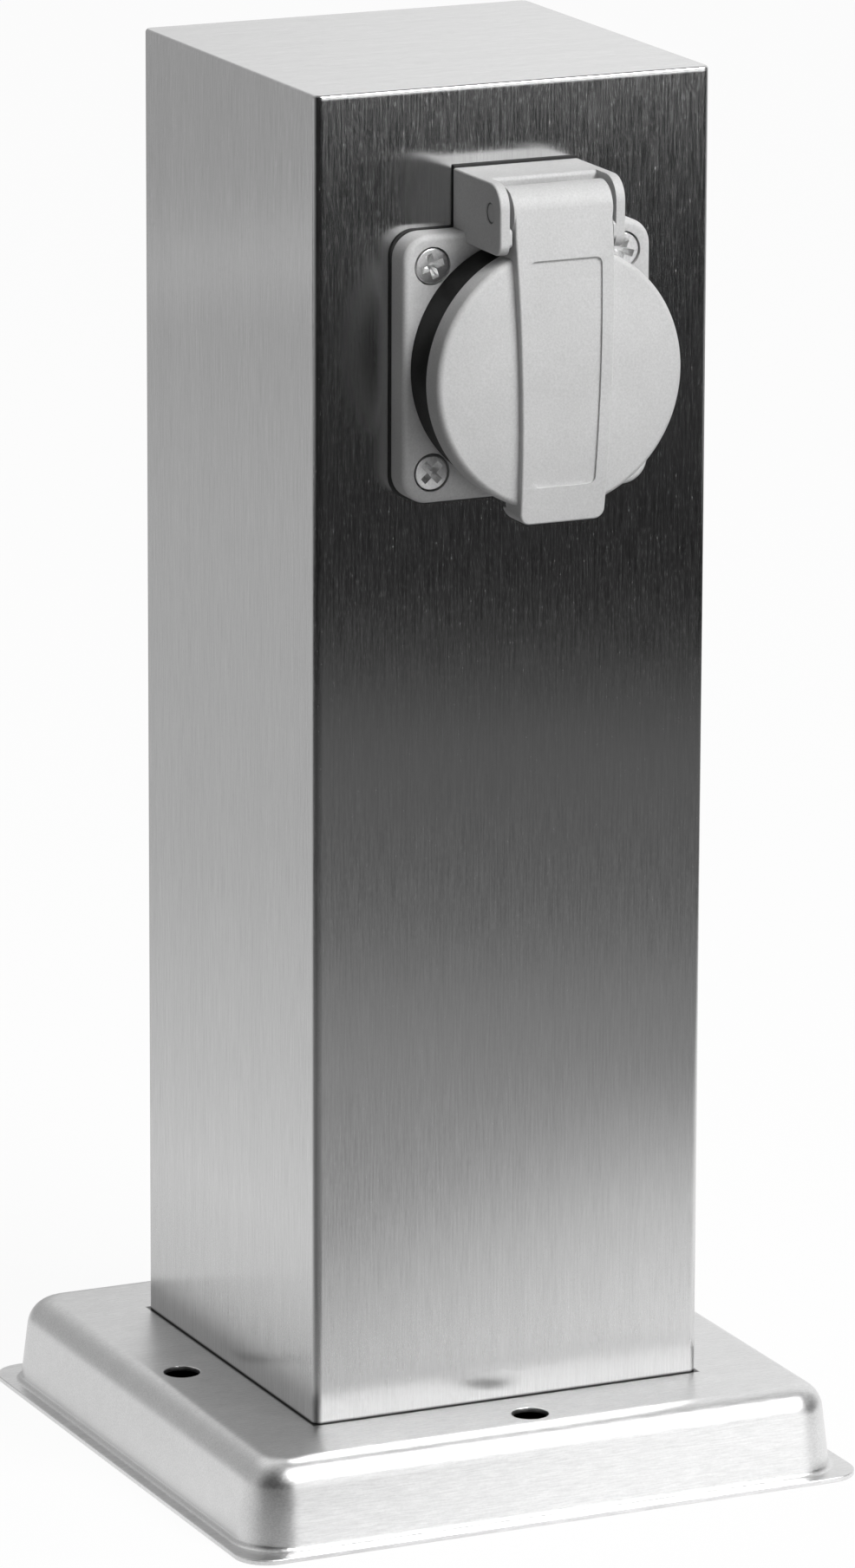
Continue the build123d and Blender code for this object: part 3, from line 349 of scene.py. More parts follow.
def duller_foot(tree):
    """How much rougher the steel is near the foot."""
    height = place_on_piece(tree)[2]
    return spread(tree, height, FOOT_DULLING, 0, BASE_TOP + DULL_UP_TO, BASE_TOP + BRUSHED_FROM)


def base_painted_foot_shade(tree):
    """Share of painted shade: 1 on the base's top round the foot of the column, 0 beyond the joint.
    """
    reach = reach_from_axis(tree)
    near = spread(tree, reach, 1, 0, COLUMN_HALF + LINE_CORE * FOOT_SHADE_WIDTH, COLUMN_HALF + FOOT_SHADE_WIDTH)
    height = place_on_piece(tree)[2]
    on_top = combine(tree, "GREATER_THAN", height, BASE_TOP - FOOT_SHADE_WIDTH)
    return combine(tree, "MULTIPLY", near, on_top)


print("roll below the top edge", round(math.degrees(ROLL_HEIGHT / ROLL_RADIUS), 1), "degrees")

# %% [markdown]
# ## The four steels
# The column's faces are brushed upright. Its top is brushed too, but crosswise, and one material
# can't serve both: the shader's smear follows one axis and would turn into a star on the level
# top. So the top has a finish of its own without smear. The base is pressed from duller sheet
# and brushed finer, and the screws are bright drawn steel with an even grain.

# %% The four steels
column_steel = steel_finish(
    "column_steel", tone=0.65, roughness=0.17, relief=0.03, smear=0.95, glints=0.10,
    fine=(2800, 2800, 120), flecks=(4300, 4300, 700), streaks=(300, 300, 6),
    painted_shade=column_painted_shade, dulling=duller_foot, roll=rolled_in,
)
column_top_steel = steel_finish(
    "column_top_steel", tone=0.68, roughness=0.20, relief=0.06,
    fine=(200, 2800, 2800), flecks=(900, 2800, 2800), streaks=(6, 300, 300),
)
base_steel = steel_finish(
    "base_steel", tone=0.76, roughness=0.36, relief=0.01,
    fine=(260, 4200, 4200), flecks=(1500, 2600, 2600), streaks=(10, 260, 260),
    painted_shade=base_painted_foot_shade,
)
screw_steel = steel_finish(
    "screw_steel", tone=0.92, roughness=0.33, relief=0.01,
    fine=(2500, 2500, 2500), flecks=(1200, 1200, 1200), streaks=(200, 200, 200),
)
for steel in (column_steel, column_top_steel, base_steel, screw_steel):
    print(steel.name, len(steel.node_tree.nodes), "nodes")

# %% [markdown]
# ## Moulded plastics and rubber
# Flange, housing and lid are moulded in light grey plastic with a fine spark-eroded grain: matt,
# with a faint soft shine. The insert is the same kind of plastic in black, smoother. Rubber is
# darker and duller still. A flat colour would look like paper, so each gets a fine even noise as
# relief and speckle, and a very weak cloudy mottling, as moulded pieces have where the melt met.

# %% Moulded finish
GRAIN = 2600
GRAIN_DEPTH = 0.04 * MM
CLOUDS = 90
GRAIN_GLOSS_CHANGE = 0.05
# Share of the plastic's colour left where painted shade in a gap is full.
BORE_PAINTED_SHADE_LEFT_OVER = 0.2


def moulded_finish(name, colour, roughness, relief=0.2, mottling=0.03, speckling=0.03,
                   sheen=0.4, painted_shade=None):
    """Matt moulded plastic with a fine grain; the shade function gives the share of painted shade in
    a gap.
    """
    finish, tree, shader = new_finish(name)
    fine_grain = stretched_noise(tree, (GRAIN, GRAIN, GRAIN), detail=2.0)
    cloud = stretched_noise(tree, (CLOUDS, CLOUDS, CLOUDS))
    speckle = spread(tree, fine_grain, 1 - speckling, 1 + speckling)
    tone = combine(tree, "MULTIPLY", spread(tree, cloud, 1 - mottling, 1 + mottling), speckle)
    # Painted shade in a gap: the colour is darkened where the shade function gives 1.
    if painted_shade is not None:
        tone = darken_along(tree, tone, painted_shade, BORE_PAINTED_SHADE_LEFT_OVER)
    tree.links.new(grey_from(tree, tone, colour), shader.inputs["Base Color"])
    gloss = spread(
        tree, fine_grain, roughness - GRAIN_GLOSS_CHANGE, roughness + GRAIN_GLOSS_CHANGE
    )
    tree.links.new(gloss, shader.inputs["Roughness"])
    shader.inputs["Specular IOR Level"].default_value = sheen
    raise_surface(tree, shader, fine_grain, relief, GRAIN_DEPTH)
    return finish


grey_plastic = moulded_finish("grey_plastic", (0.56, 0.56, 0.56), 0.60, relief=0.5, speckling=0.07)
black_plastic = moulded_finish("black_plastic", (0.008, 0.008, 0.008), 0.40, relief=0.1, sheen=0.14)
carrier_plastic = moulded_finish("carrier_plastic", (0.05, 0.05, 0.05), 0.5)
seal_rubber = moulded_finish("seal_rubber", (0.02, 0.02, 0.02), 0.7, mottling=0.1)
lead_insulation = moulded_finish("lead_insulation", (0.30, 0.48, 0.10), 0.45, relief=0.1)
print("plastics and rubber made")

# %% [markdown]
# ## The hinge pin's end
# The pin sits flush in the housing's cheek, so all that shows of it is the thin dark ring of shade
# in the gap where it meets its bore. The gap is too narrow to model, so that shade is painted: the
# pin's plastic is darkened near its rim, by the distance from the hinge's axis.

# %% Pin finish
HINGE_AXIS = (0, -56.4 * MM, 249.6 * MM)
# Distances from the hinge's axis between which the painted shade rises at the pin's rim.
PIN_SHADE_RING = (1.5 * MM, 1.8 * MM)


def pin_rim_painted_shade(tree):
    """Share of painted shade: 0 inside the pin's end, rising to 1 at its rim."""
    coordinates = add_node(tree, "ShaderNodeTexCoord")
    beside = add_node(tree, "ShaderNodeVectorMath", operation="MULTIPLY")
    beside.inputs[1].default_value = (0, 1, 1)
    off_axis = add_node(tree, "ShaderNodeVectorMath", operation="DISTANCE")
    off_axis.inputs[1].default_value = HINGE_AXIS
    tree.links.new(coordinates.outputs["Object"], beside.inputs[0])
    tree.links.new(beside.outputs["Vector"], off_axis.inputs[0])
    return spread(tree, off_axis.outputs["Value"], 0, 1, *PIN_SHADE_RING)


pin_plastic = moulded_finish("pin_plastic", (0.52, 0.52, 0.52), 0.55, relief=0.3, painted_shade=pin_rim_painted_shade)
print("pin rim", [round(edge / MM, 1) for edge in PIN_SHADE_RING], "mm from its axis")

# %% [markdown]
# ## Metals of the inner pieces
# Contacts are brass, clamps and lugs are tinned copper, and the spring is drawn steel. They have
# no brushed direction: stamping and drawing leave a cloudy, slightly worn gloss, so one round
# noise changes their tone and their roughness together.

# %% Inner metals
WORN_CELLS = 900
WORN_TONES = (0.9, 1.08)
WORN_GLOSS = (-0.06, 0.08)


def plain_metal(name, colour, roughness):
    """Drawn or stamped metal of the inner pieces."""
    finish, tree, shader = new_finish(name)
    worn = stretched_noise(tree, (WORN_CELLS, WORN_CELLS, WORN_CELLS))
    tone = spread(tree, worn, *WORN_TONES)
    gloss = spread(tree, worn, roughness + WORN_GLOSS[0], roughness + WORN_GLOSS[1])
    tree.links.new(grey_from(tree, tone, colour), shader.inputs["Base Color"])
    tree.links.new(gloss, shader.inputs["Roughness"])
    shader.inputs["Metallic"].default_value = 1.0
    raise_surface(tree, shader, worn, 0.1, SCRATCH_DEPTH)
    return finish


contact_brass = plain_metal("contact_brass", (0.72, 0.58, 0.32), 0.3)
tinned_copper = plain_metal("tinned_copper", (0.66, 0.66, 0.64), 0.35)
spring_steel = plain_metal("spring_steel", (0.55, 0.55, 0.55), 0.28)
print("inner metals made")

# %% [markdown]
# ## Finishes on the CAD nodes
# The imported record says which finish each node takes. A CAD node's shape stays untouched; only
# the material in its slot changes. The hinge pin takes its own plastic, and the column gets a
# second slot for the finish of its top. The faces for it could be picked in edit mode, but they
# are found by their normals, so they are the right ones however the mesh is numbered.

# %% Dress the CAD nodes
FACING = 0.9
finishes = {
    "column_steel": column_steel,
    "base_steel": base_steel,
    "screw_steel": screw_steel,
    "grey_plastic": grey_plastic,
    "black_plastic": black_plastic,
    "carrier_plastic": carrier_plastic,
    "seal_rubber": seal_rubber,
    "contact_brass": contact_brass,
    "tinned_copper": tinned_copper,
    "lead_insulation": lead_insulation,
    "spring_steel": spring_steel,
}


def dress(obj, finish):
    """One finish on a whole piece."""
    obj.data.materials.clear()
    obj.data.materials.append(finish)


for part in frame["record"]["subparts"]:
    dress(nodes[part["node"]], finishes[part["material_slot"]])
dress(nodes["hinge_pin"], pin_plastic)

column = nodes["column_shell"]
column.data.materials.append(column_top_steel)
top_faces = [face for face in column.data.polygons if face.normal.z > FACING]
for face in top_faces:
    face.material_index = 1
print("column's top", len(top_faces), "faces")

# %% [markdown]
# ## Soft edges
# No real edge is perfectly sharp: a moulding has a small radius and cut sheet is deburred, and
# the thin highlight along such an edge is what makes it look real. The radii could be cut in the
# CAD, but a tenth of a millimetre there costs many faces in every check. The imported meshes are
# loose triangles, so a Weld modifier joins them first, a Bevel then rounds the edges, and the
# faces are shaded smooth with normals weighted to the flat faces. The CAD shape under the
# modifiers stays as it is.

# %% Round the edges a little
SHARP_ANGLE = math.radians(32)
SAME_CORNER = 0.002 * MM
EDGE_STEPS = 3
FLAT_FACE_WEIGHT = 60
EDGE_RADII = {
    "column_shell": 0.25,
    "base_pan": 0.18,
    "socket_flange": 0.18,
    "lid": 0.15,
    "socket_insert": 0.12,
    "contact_carrier": 0.15,
    "cable_grommet": 0.2,
    "earth_nut": 0.12,
    "column_nuts": 0.12,
    "flange_nuts": 0.12,
}


def soften(obj, radius):
    """Weld, Bevel and Weighted Normal modifiers, with smooth shading over them."""
    for polygon in obj.data.polygons:
        polygon.use_smooth = True
    weld = obj.modifiers.new("join_triangles", "WELD")
    weld.merge_threshold = SAME_CORNER
    bevel = obj.modifiers.new("soft_edges", "BEVEL")
    bevel.width = radius * MM
    bevel.segments = EDGE_STEPS
    bevel.limit_method = "ANGLE"
    bevel.angle_limit = SHARP_ANGLE
    bevel.use_clamp_overlap = True
    bevel.miter_outer = "MITER_ARC"
    normals = obj.modifiers.new("flat_faces_stay_flat", "WEIGHTED_NORMAL")
    normals.weight = FLAT_FACE_WEIGHT
    normals.keep_sharp = True


for node_name, edge_radius in EDGE_RADII.items():
    soften(nodes[node_name], edge_radius)
print("softened", len(EDGE_RADII), "nodes")

# %% [markdown]
# ## Working by hand, in code
# An operator acts on all that is selected, so each new primitive is added with nothing else
# selected. In a window, faces and corners are picked with the mouse; here they are picked by a
# test on their normal or their place, which gives the same pick each time the script runs.

# %% Picking tools
def add_alone(add_primitive, **settings):
    """A new primitive, the only thing selected."""
    bpy.ops.object.select_all(action="DESELECT")
    add_primitive(**settings)
    return bpy.context.object


def pick_only(obj, kind, elements, test):
    """Edit mode with just those elements of the mesh selected that pass a test."""
    bpy.ops.object.mode_set(mode="EDIT")
    bpy.ops.mesh.select_mode(type=kind)
    bpy.ops.mesh.select_all(action="DESELECT")
    bpy.ops.object.mode_set(mode="OBJECT")
    for element in elements:
        element.select = test(element)
    bpy.ops.object.mode_set(mode="EDIT")


def pick_faces(obj, test):
    """Edit mode with just those faces selected that pass a test."""
    pick_only(obj, "FACE", obj.data.polygons, test)


def pick_corners(obj, test):
    """Edit mode with just those corners selected whose place passes a test."""
    pick_only(obj, "VERT", obj.data.vertices, lambda corner: test(corner.co))


print("picking tools ready")

# %% [markdown]
# ## Screw recess
# A punch presses the recess into a screw's head, and tapers so that it comes out again. The cross
# could be painted on as a dark cross, but its walls catch light one by one, so it is cut as a
# real hole. The cutter is the punch itself: a block whose side faces are pulled out into arms,
# with the end that goes in made narrower. Two arms make the punch of a slotted screw.

# %% Recess punch
TIP_SHARE = 0.42
MOUTH_SHARE = 1.58
SIDE_FACE = 0.1


def recess_punch(arm, reach, depth, arms=4):
    """A block with its arms pulled out; the tip of a cross is narrower, like a screwdriver's."""
    punch = add_alone(bpy.ops.mesh.primitive_cube_add, size=1)
    punch.scale = (arm, arm, 2 * depth)
    bpy.ops.object.transform_apply(location=False, rotation=False, scale=True)
    ways = [Vector((1, 0, 0)), Vector((-1, 0, 0)), Vector((0, 1, 0)), Vector((0, -1, 0))]
    for way in ways[:arms]:
        pick_faces(
            punch,
            lambda face: face.normal.dot(way) > FACING
            and face.center.cross(way).length < SIDE_FACE * arm,
        )
        bpy.ops.mesh.extrude_region_move(
            TRANSFORM_OT_translate={"value": way * (reach - arm / 2)}
        )
    if arms == 4:
        pick_corners(punch, lambda place: place.z < 0)
        bpy.ops.transform.resize(value=(TIP_SHARE, TIP_SHARE, 1), center_override=(0, 0, 0))
        pick_corners(punch, lambda place: place.z > 0)
        bpy.ops.transform.resize(value=(MOUTH_SHARE, MOUTH_SHARE, 1), center_override=(0, 0, 0))
    bpy.ops.object.mode_set(mode="OBJECT")
    return punch


print("cross at the head's surface is", (TIP_SHARE + MOUTH_SHARE) / 2, "of the punch's size")

# %% [markdown]
# ## Screw head
# A head is upset from wire in one blow, which leaves a rounded rim. It starts as a cylinder, or
# as a cone where the head is countersunk, with its top at zero. It could be spun from a drawn
# profile, but bevelling the rim of the face on top gives the same shape in one step. A Boolean
# then takes out the punch, and the punch is gone after that.

# %% Screw head
HEAD_SIDES = 48
RIM_STEPS = 4


def screw_head(radius, height, rim, punch, foot_radius=None):
    """A head with a rounded rim and the punch's recess; a foot radius makes it countersunk."""
    middle = (0, 0, -height / 2)
    if foot_radius is None:
        head = add_alone(
            bpy.ops.mesh.primitive_cylinder_add,
            vertices=HEAD_SIDES, radius=radius, depth=height, location=middle,
        )
    else:
        head = add_alone(
            bpy.ops.mesh.primitive_cone_add,
            vertices=HEAD_SIDES, radius1=foot_radius, radius2=radius, depth=height,
            location=middle,
        )
    bpy.ops.object.transform_apply(location=True, rotation=False, scale=False)
    pick_faces(head, lambda face: face.normal.z > FACING)
    bpy.ops.mesh.bevel(offset=rim, segments=RIM_STEPS, affect="EDGES")
    bpy.ops.object.mode_set(mode="OBJECT")
    cut = head.modifiers.new("recess", "BOOLEAN")
    cut.operation = "DIFFERENCE"
    cut.solver = "EXACT"
    cut.object = punch
    bpy.context.view_layer.objects.active = head
    bpy.ops.object.modifier_apply(modifier=cut.name)
    bpy.data.objects.remove(punch, do_unlink=True)
    print("head", round(2 * radius / MM, 2), "x", round(height / MM, 2), "mm")
    return head


# %% [markdown]
# ## Rolled thread
# Dies roll the thread into the shank: the metal isn't cut, it flows into one long helical tooth.
# Rings stacked up would not wind, so one tooth is drawn, to be swept round the axis. It starts
# as a small upright plane whose inner corners are merged into one, and of whose edges only the
# two flanks are kept. Its sizes are shares of the pitch.

# %% Thread tooth
TOOTH_DEPTH = 0.6
TOOTH_MIDDLE = 0.3
TOOTH_ROOT = 0.45


def tooth_outline(radius, pitch):
    """The two flanks of one tooth, as edges beside the axis."""
    tooth = add_alone(
        bpy.ops.mesh.primitive_plane_add,
        size=pitch, location=(radius - TOOTH_MIDDLE * pitch, 0, 0), rotation=(math.pi / 2, 0, 0),
    )
    tooth.scale = (TOOTH_DEPTH, 1, 1)
    bpy.ops.object.transform_apply(location=True, rotation=True, scale=True)
    root = radius - TOOTH_ROOT * pitch
    pick_corners(tooth, lambda place: place.x < root)
    bpy.ops.mesh.merge(type="CENTER")
    pick_corners(tooth, lambda place: place.x > root)
    bpy.ops.mesh.select_mode(type="EDGE")
    bpy.ops.mesh.delete(type="EDGE_FACE")
    bpy.ops.object.mode_set(mode="OBJECT")
    return tooth


print("tooth", TOOTH_DEPTH, "of a pitch deep")

# %% [markdown]
# ## Shank
# A Screw modifier sweeps the tooth round the axis and up by one pitch a turn, two turns more than
# the shank is long. The ends of such a sweep are ragged, so two level planes cut them flat and
# close them. The windings only touch each other, so they are merged before the cuts, and the
# normals are made to agree after them.

# %% Shank
FIRST_CUT = 0.6
SWEEP_STEPS = 20
MERGE_PART = 200
CUT_PART = 10000


def cut_flat(height, pitch, **cleared):
    """A level cut through the open mesh, closed by a face."""
    bpy.ops.mesh.select_all(action="SELECT")
    bpy.ops.mesh.bisect(
        plane_co=(0, 0, height), plane_no=(0, 0, 1), use_fill=True,
        threshold=pitch / CUT_PART, **cleared,
    )


def rolled_shank(radius, pitch, top, length):
    """A threaded shank from top downward: one tooth swept along the axis and cut at both ends."""
    shank = tooth_outline(radius, pitch)
    sweep = shank.modifiers.new("thread", "SCREW")
    sweep.axis = "Z"
    sweep.angle = 2 * math.pi
    sweep.screw_offset = pitch
    sweep.iterations = math.ceil(length / pitch) + 2
    sweep.steps = SWEEP_STEPS
    sweep.render_steps = SWEEP_STEPS
    sweep.use_merge_vertices = True
    sweep.merge_threshold = pitch / MERGE_PART
    bpy.ops.object.modifier_apply(modifier=sweep.name)
    bpy.ops.object.mode_set(mode="EDIT")
    bpy.ops.mesh.select_all(action="SELECT")
    bpy.ops.mesh.remove_doubles(threshold=pitch / MERGE_PART)
    lower_end = FIRST_CUT * pitch
    cut_flat(lower_end, pitch, clear_inner=True)
    cut_flat(lower_end + length, pitch, clear_outer=True)
    bpy.ops.mesh.select_all(action="SELECT")
    bpy.ops.mesh.normals_make_consistent(inside=False)
    bpy.ops.transform.translate(value=(0, 0, top - length - lower_end))
    bpy.ops.object.mode_set(mode="OBJECT")
    print("shank", round(2 * radius / MM, 2), "x", round(length / MM, 2), "mm")
    return shank


# %% [markdown]
# ## Driving screws in
# A screw is modelled once, on the Z axis with the top of its head at zero, and copied to each
# place, each copy with its own mesh. Copies could be linked, but a place is written into the mesh
# here, so they can't share it. Real screws stop at whatever angle they are tight, so every copy
# is turned by its own amount. All copies of one kind stand together for their CAD node.

# %% Driving screws in
SCREW_ANGLE = math.radians(10)


def join_pieces(name, pieces):
    """Several meshes as one piece."""
    bpy.ops.object.select_all(action="DESELECT")
    for piece in pieces:
        piece.select_set(True)
    bpy.context.view_layer.objects.active = pieces[0]
    if len(pieces) > 1:
        bpy.ops.object.join()
    joined = bpy.context.object
    joined.name = name
    return joined


def drive_in(screw, place, facing, degrees):
    """A copy of a finished screw, with its head at a place, facing one way."""
    bpy.ops.object.select_all(action="DESELECT")
    screw.select_set(True)
    bpy.context.view_layer.objects.active = screw
    bpy.ops.object.duplicate(linked=False)
    driven = bpy.context.object
    turn = Matrix.Rotation(math.radians(degrees), 3, "Z")
    aim = Vector(facing).to_track_quat("Z", "Y").to_matrix() @ turn
    driven.rotation_euler = aim.to_euler()
    driven.location = place
    bpy.ops.object.transform_apply(location=True, rotation=True, scale=True)
    return driven


def set_of_screws(name, node, screw, facing, spots):
    """Copies of one screw at all its spots; a spot is a place and the angle it stopped at."""
    driven = [drive_in(screw, place, facing, degrees) for place, degrees in spots]
    bpy.data.objects.remove(screw, do_unlink=True)
    whole = join_pieces(name, driven)
    bpy.ops.object.shade_smooth_by_angle(angle=SCREW_ANGLE)
    dress(whole, screw_steel)
    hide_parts(node)
    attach(whole, "post")
    print(name, len(whole.data.polygons), "faces")
    return whole


# %% [markdown]
# ## Flange screws
# Four pan head screws hold the outlet's flange to the column, one in each corner. They are what
# catches the eye beside the lid, so their cross and rim follow the photo closely. The shank is
# hidden in the flange and the sheet, and is threaded all the way, as such short screws are. It
# could be left a plain cylinder, but the piece may be looked at by itself one day.

# %% Flange screws
COLUMN_FRONT = -COLUMN_HALF
SOCKET_HEIGHT = 219.2 * MM
SCREW_HALF_PITCH = 19.25 * MM
FLANGE_HEAD_TOP = COLUMN_FRONT - 5.9 * MM
TO_FRONT = (0, -1, 0)

flange_screw = join_pieces("flange_screw", [
    screw_head(
        radius=3.3 * MM, height=2.9 * MM, rim=0.3 * MM,
        punch=recess_punch(arm=1.35 * MM, reach=2.35 * MM, depth=1.8 * MM),
    ),
    rolled_shank(radius=1.98 * MM, pitch=0.7 * MM, top=-2.8 * MM, length=10.1 * MM),
])
flange_spots = []
for side, level, degrees in ((-1, 1, 18), (1, 1, 70), (-1, -1, 43), (1, -1, 10)):
    across = side * SCREW_HALF_PITCH
    height = SOCKET_HEIGHT + level * SCREW_HALF_PITCH
    flange_spots.append(((across, FLANGE_HEAD_TOP, height), degrees))
set_of_screws(
    "flange_screws_cross_recessed", "flange_screws", flange_screw, TO_FRONT, flange_spots
)

# %% [markdown]
# ## Gasket
# The gasket is a soft sheet between flange and column. Screwed down, it swells out a little all
# round, and shows as a black line. It could be drawn anew, but its holes have to fit, so it
# starts from a copy of the CAD gasket: the copy's loose triangles are merged, the corners on its
# outline are moved outward and its edge is rounded.

# %% Squeezed gasket
GASKET_BODY = 22.0 * MM
GASKET_SWELL = 1.024
GASKET_EDGE = 0.22


def squeezed_gasket():
    """The CAD gasket with its outline swollen past the flange."""
    source = nodes["flange_gasket"]
    gasket = source.copy()
    gasket.data = source.data.copy()
    gasket.name = "flange_gasket_squeezed"
    bpy.context.scene.collection.objects.link(gasket)
    bpy.ops.object.select_all(action="DESELECT")
    gasket.select_set(True)
    bpy.context.view_layer.objects.active = gasket
    bpy.ops.object.mode_set(mode="EDIT")
    bpy.ops.mesh.select_all(action="SELECT")
    bpy.ops.mesh.remove_doubles(threshold=SAME_CORNER)
    bpy.ops.object.mode_set(mode="OBJECT")
    pick_corners(
        gasket,
        lambda place: max(abs(place.x), abs(place.z - SOCKET_HEIGHT)) > GASKET_BODY,
    )
    bpy.ops.transform.resize(
        value=(GASKET_SWELL, 1, GASKET_SWELL), center_override=(0, 0, SOCKET_HEIGHT)
    )
    bpy.ops.object.mode_set(mode="OBJECT")
    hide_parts("flange_gasket")
    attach(gasket, "post")
    soften(gasket, GASKET_EDGE)
    return gasket


gasket = squeezed_gasket()
print("gasket", [round(side / MM, 1) for side in gasket.dimensions], "mm")

# %% [markdown]
# ## Screws in the column's foot
# Four screws come up through the base into the column's foot flanges. Nobody sees them until the
# post is turned over, but then a plain cylinder would look unfinished. The same tools make them,
# with the sizes of their CAD node and a flatter, rounder head.

# %% Screws in the column's foot
DOWNWARD = (0, 0, -1)
FOOT_HALF_PITCH = 31.5 * MM
FOOT_HEAD_TOP = 14.0 * MM

foot_screw = join_pieces("foot_screw", [
    screw_head(
        radius=4.0 * MM, height=2.4 * MM, rim=0.7 * MM,
        punch=recess_punch(arm=1.15 * MM, reach=2.1 * MM, depth=1.7 * MM),
    ),
    rolled_shank(radius=1.98 * MM, pitch=0.7 * MM, top=-2.3 * MM, length=8.1 * MM),
])
foot_spots = []
for side, depth, degrees in ((-1, -1, 12), (1, -1, 55), (-1, 1, 80), (1, 1, 33)):
    place = (side * FOOT_HALF_PITCH, depth * FOOT_HALF_PITCH, FOOT_HEAD_TOP)
    foot_spots.append((place, degrees))
set_of_screws(
    "column_screws_cross_recessed", "column_screws", foot_screw, DOWNWARD, foot_spots
)

# %% [markdown]
# ## Terminal screws
# A terminal screw presses a clamp plate on the bare end of a wire. It has a slot, which an
# ordinary screwdriver fits. The slot could be cut with a plain block, but the punch with two
# arms and no taper does the same. Two screws sit above and one, a little further back, below.

# %% Terminal screws
TO_BACK = (0, 1, 0)
TERMINAL_HEAD_TOP = COLUMN_FRONT + 19.8 * MM
TERMINAL_PLACES = ((-9.5, 9.4, 0.0, 20), (9.5, 9.4, 0.0, 115), (0.0, -12.2, 0.8, 65))

terminal_screw = join_pieces("terminal_screw", [
    screw_head(
        radius=2.9 * MM, height=2.4 * MM, rim=0.4 * MM,
        punch=recess_punch(arm=0.8 * MM, reach=4.0 * MM, depth=1.2 * MM, arms=2),
    ),
    rolled_shank(radius=1.74 * MM, pitch=0.6 * MM, top=-2.3 * MM, length=6.1 * MM),
])
terminal_spots = []
for across, above, behind, degrees in TERMINAL_PLACES:
    place = (across * MM, TERMINAL_HEAD_TOP + behind * MM, SOCKET_HEIGHT + above * MM)
    terminal_spots.append((place, degrees))
set_of_screws(
    "terminal_screws_slotted", "terminal_screws", terminal_screw, TO_BACK, terminal_spots
)

# %% [markdown]
# ## Centre screw
# One countersunk screw in the middle of the recess pulls the insert and the contact carrier
# together through the sheet. Its head is a cone that lies flush in the insert's floor. A flat
# disc would do at this size, but the recess is open when the lid is up, so it is a real screw.

# %% Centre screw
CENTRE_HEAD_TOP = COLUMN_FRONT + 0.6 * MM

centre_screw = join_pieces("centre_screw_plain", [
    screw_head(
        radius=2.98 * MM, height=1.7 * MM, rim=0.1 * MM,
        punch=recess_punch(arm=0.8 * MM, reach=1.7 * MM, depth=1.2 * MM), foot_radius=1.48 * MM,
    ),
    rolled_shank(radius=1.48 * MM, pitch=0.5 * MM, top=-1.65 * MM, length=10.35 * MM),
])
set_of_screws(
    "centre_screw_cross_recessed", "centre_screw", centre_screw, TO_FRONT,
    [((0, CENTRE_HEAD_TOP, SOCKET_HEIGHT), 30)],
)

# %% [markdown]
# ## Studio
# Steel shows what stands around it, so the studio is half of the finish. The object stands on a
# white table under soft light from the front right. To the front right the table ends close by
# and the room behind it is grey and then dark, which is what the column's front mirrors. The
# floor that the camera sees is a plain white sheet; the table's edge and the dark room are seen
# by reflections only. A picture of a real studio could be wrapped round the scene instead, but
# sheets at their true places also give the reflections their right height.
#
# The base is hollow, so the steel could mirror a white floor through it. Under the base every
# sheet is dark.

# %% Studio rays
UNDER_BASE = 61.5 * MM


def ray_share(tree):
    """1 for camera, glossy and transmission rays, 0 for the rays that light the object."""
    path = add_node(tree, "ShaderNodeLightPath")
    seen = combine(tree, "MAXIMUM", path.outputs["Is Camera Ray"], path.outputs["Is Glossy Ray"])
    return combine(tree, "MAXIMUM", seen, path.outputs["Is Transmission Ray"])


def beside_base(tree):
    """0 under the hollow base, where no light comes, and 1 beside it."""
    return combine(tree, "GREATER_THAN", reach_from_axis(tree), UNDER_BASE)


print("dark under the base up to", round(UNDER_BASE / MM, 1), "mm from the axis")

# %% [markdown]
# ## Studio sheets
# Floor, table and boards are all flat sheets. A plane is enough for them, with its place and turn
# written into its mesh, so that Object coordinates are metres in the room.

# %% Studio sheets
def stage_sheet(name, width, height, place, turn, finish):
    """A flat stage sheet, with its place written into its mesh."""
    sheet = add_alone(
        bpy.ops.mesh.primitive_plane_add, size=1, location=place, rotation=turn.to_euler()
    )
    sheet.name = name
    sheet.scale = (width, height, 1)
    bpy.ops.object.transform_apply(location=True, rotation=True, scale=True)
    dress(sheet, finish)
    return sheet


def level_sheet(name, size, height, finish):
    """A square stage sheet that lies level."""
    return stage_sheet(name, size, size, (0, 0, height), Matrix.Identity(3), finish)


def seen_in_reflections_only(sheet):
    """The sheet is there for reflections, and neither for the camera nor for the light."""
    sheet.visible_camera = False
    sheet.visible_diffuse = False
    sheet.visible_shadow = False
    sheet.visible_volume_scatter = False


print("studio sheets ready")

# %% [markdown]
# ## Floor
# The floor is a white sheet of paper. Lit by lamps alone it would come out grey, and more light
# would wash out the object too. So most of its colour is plain white, seen by camera and
# reflections only, and the rest is lit by the lamps, which keeps the object's soft shadow.

# %% Floor
FLOOR_SIZE = 12.0
PAPER_WHITE = 0.9
PLAIN_SHARE = 0.95


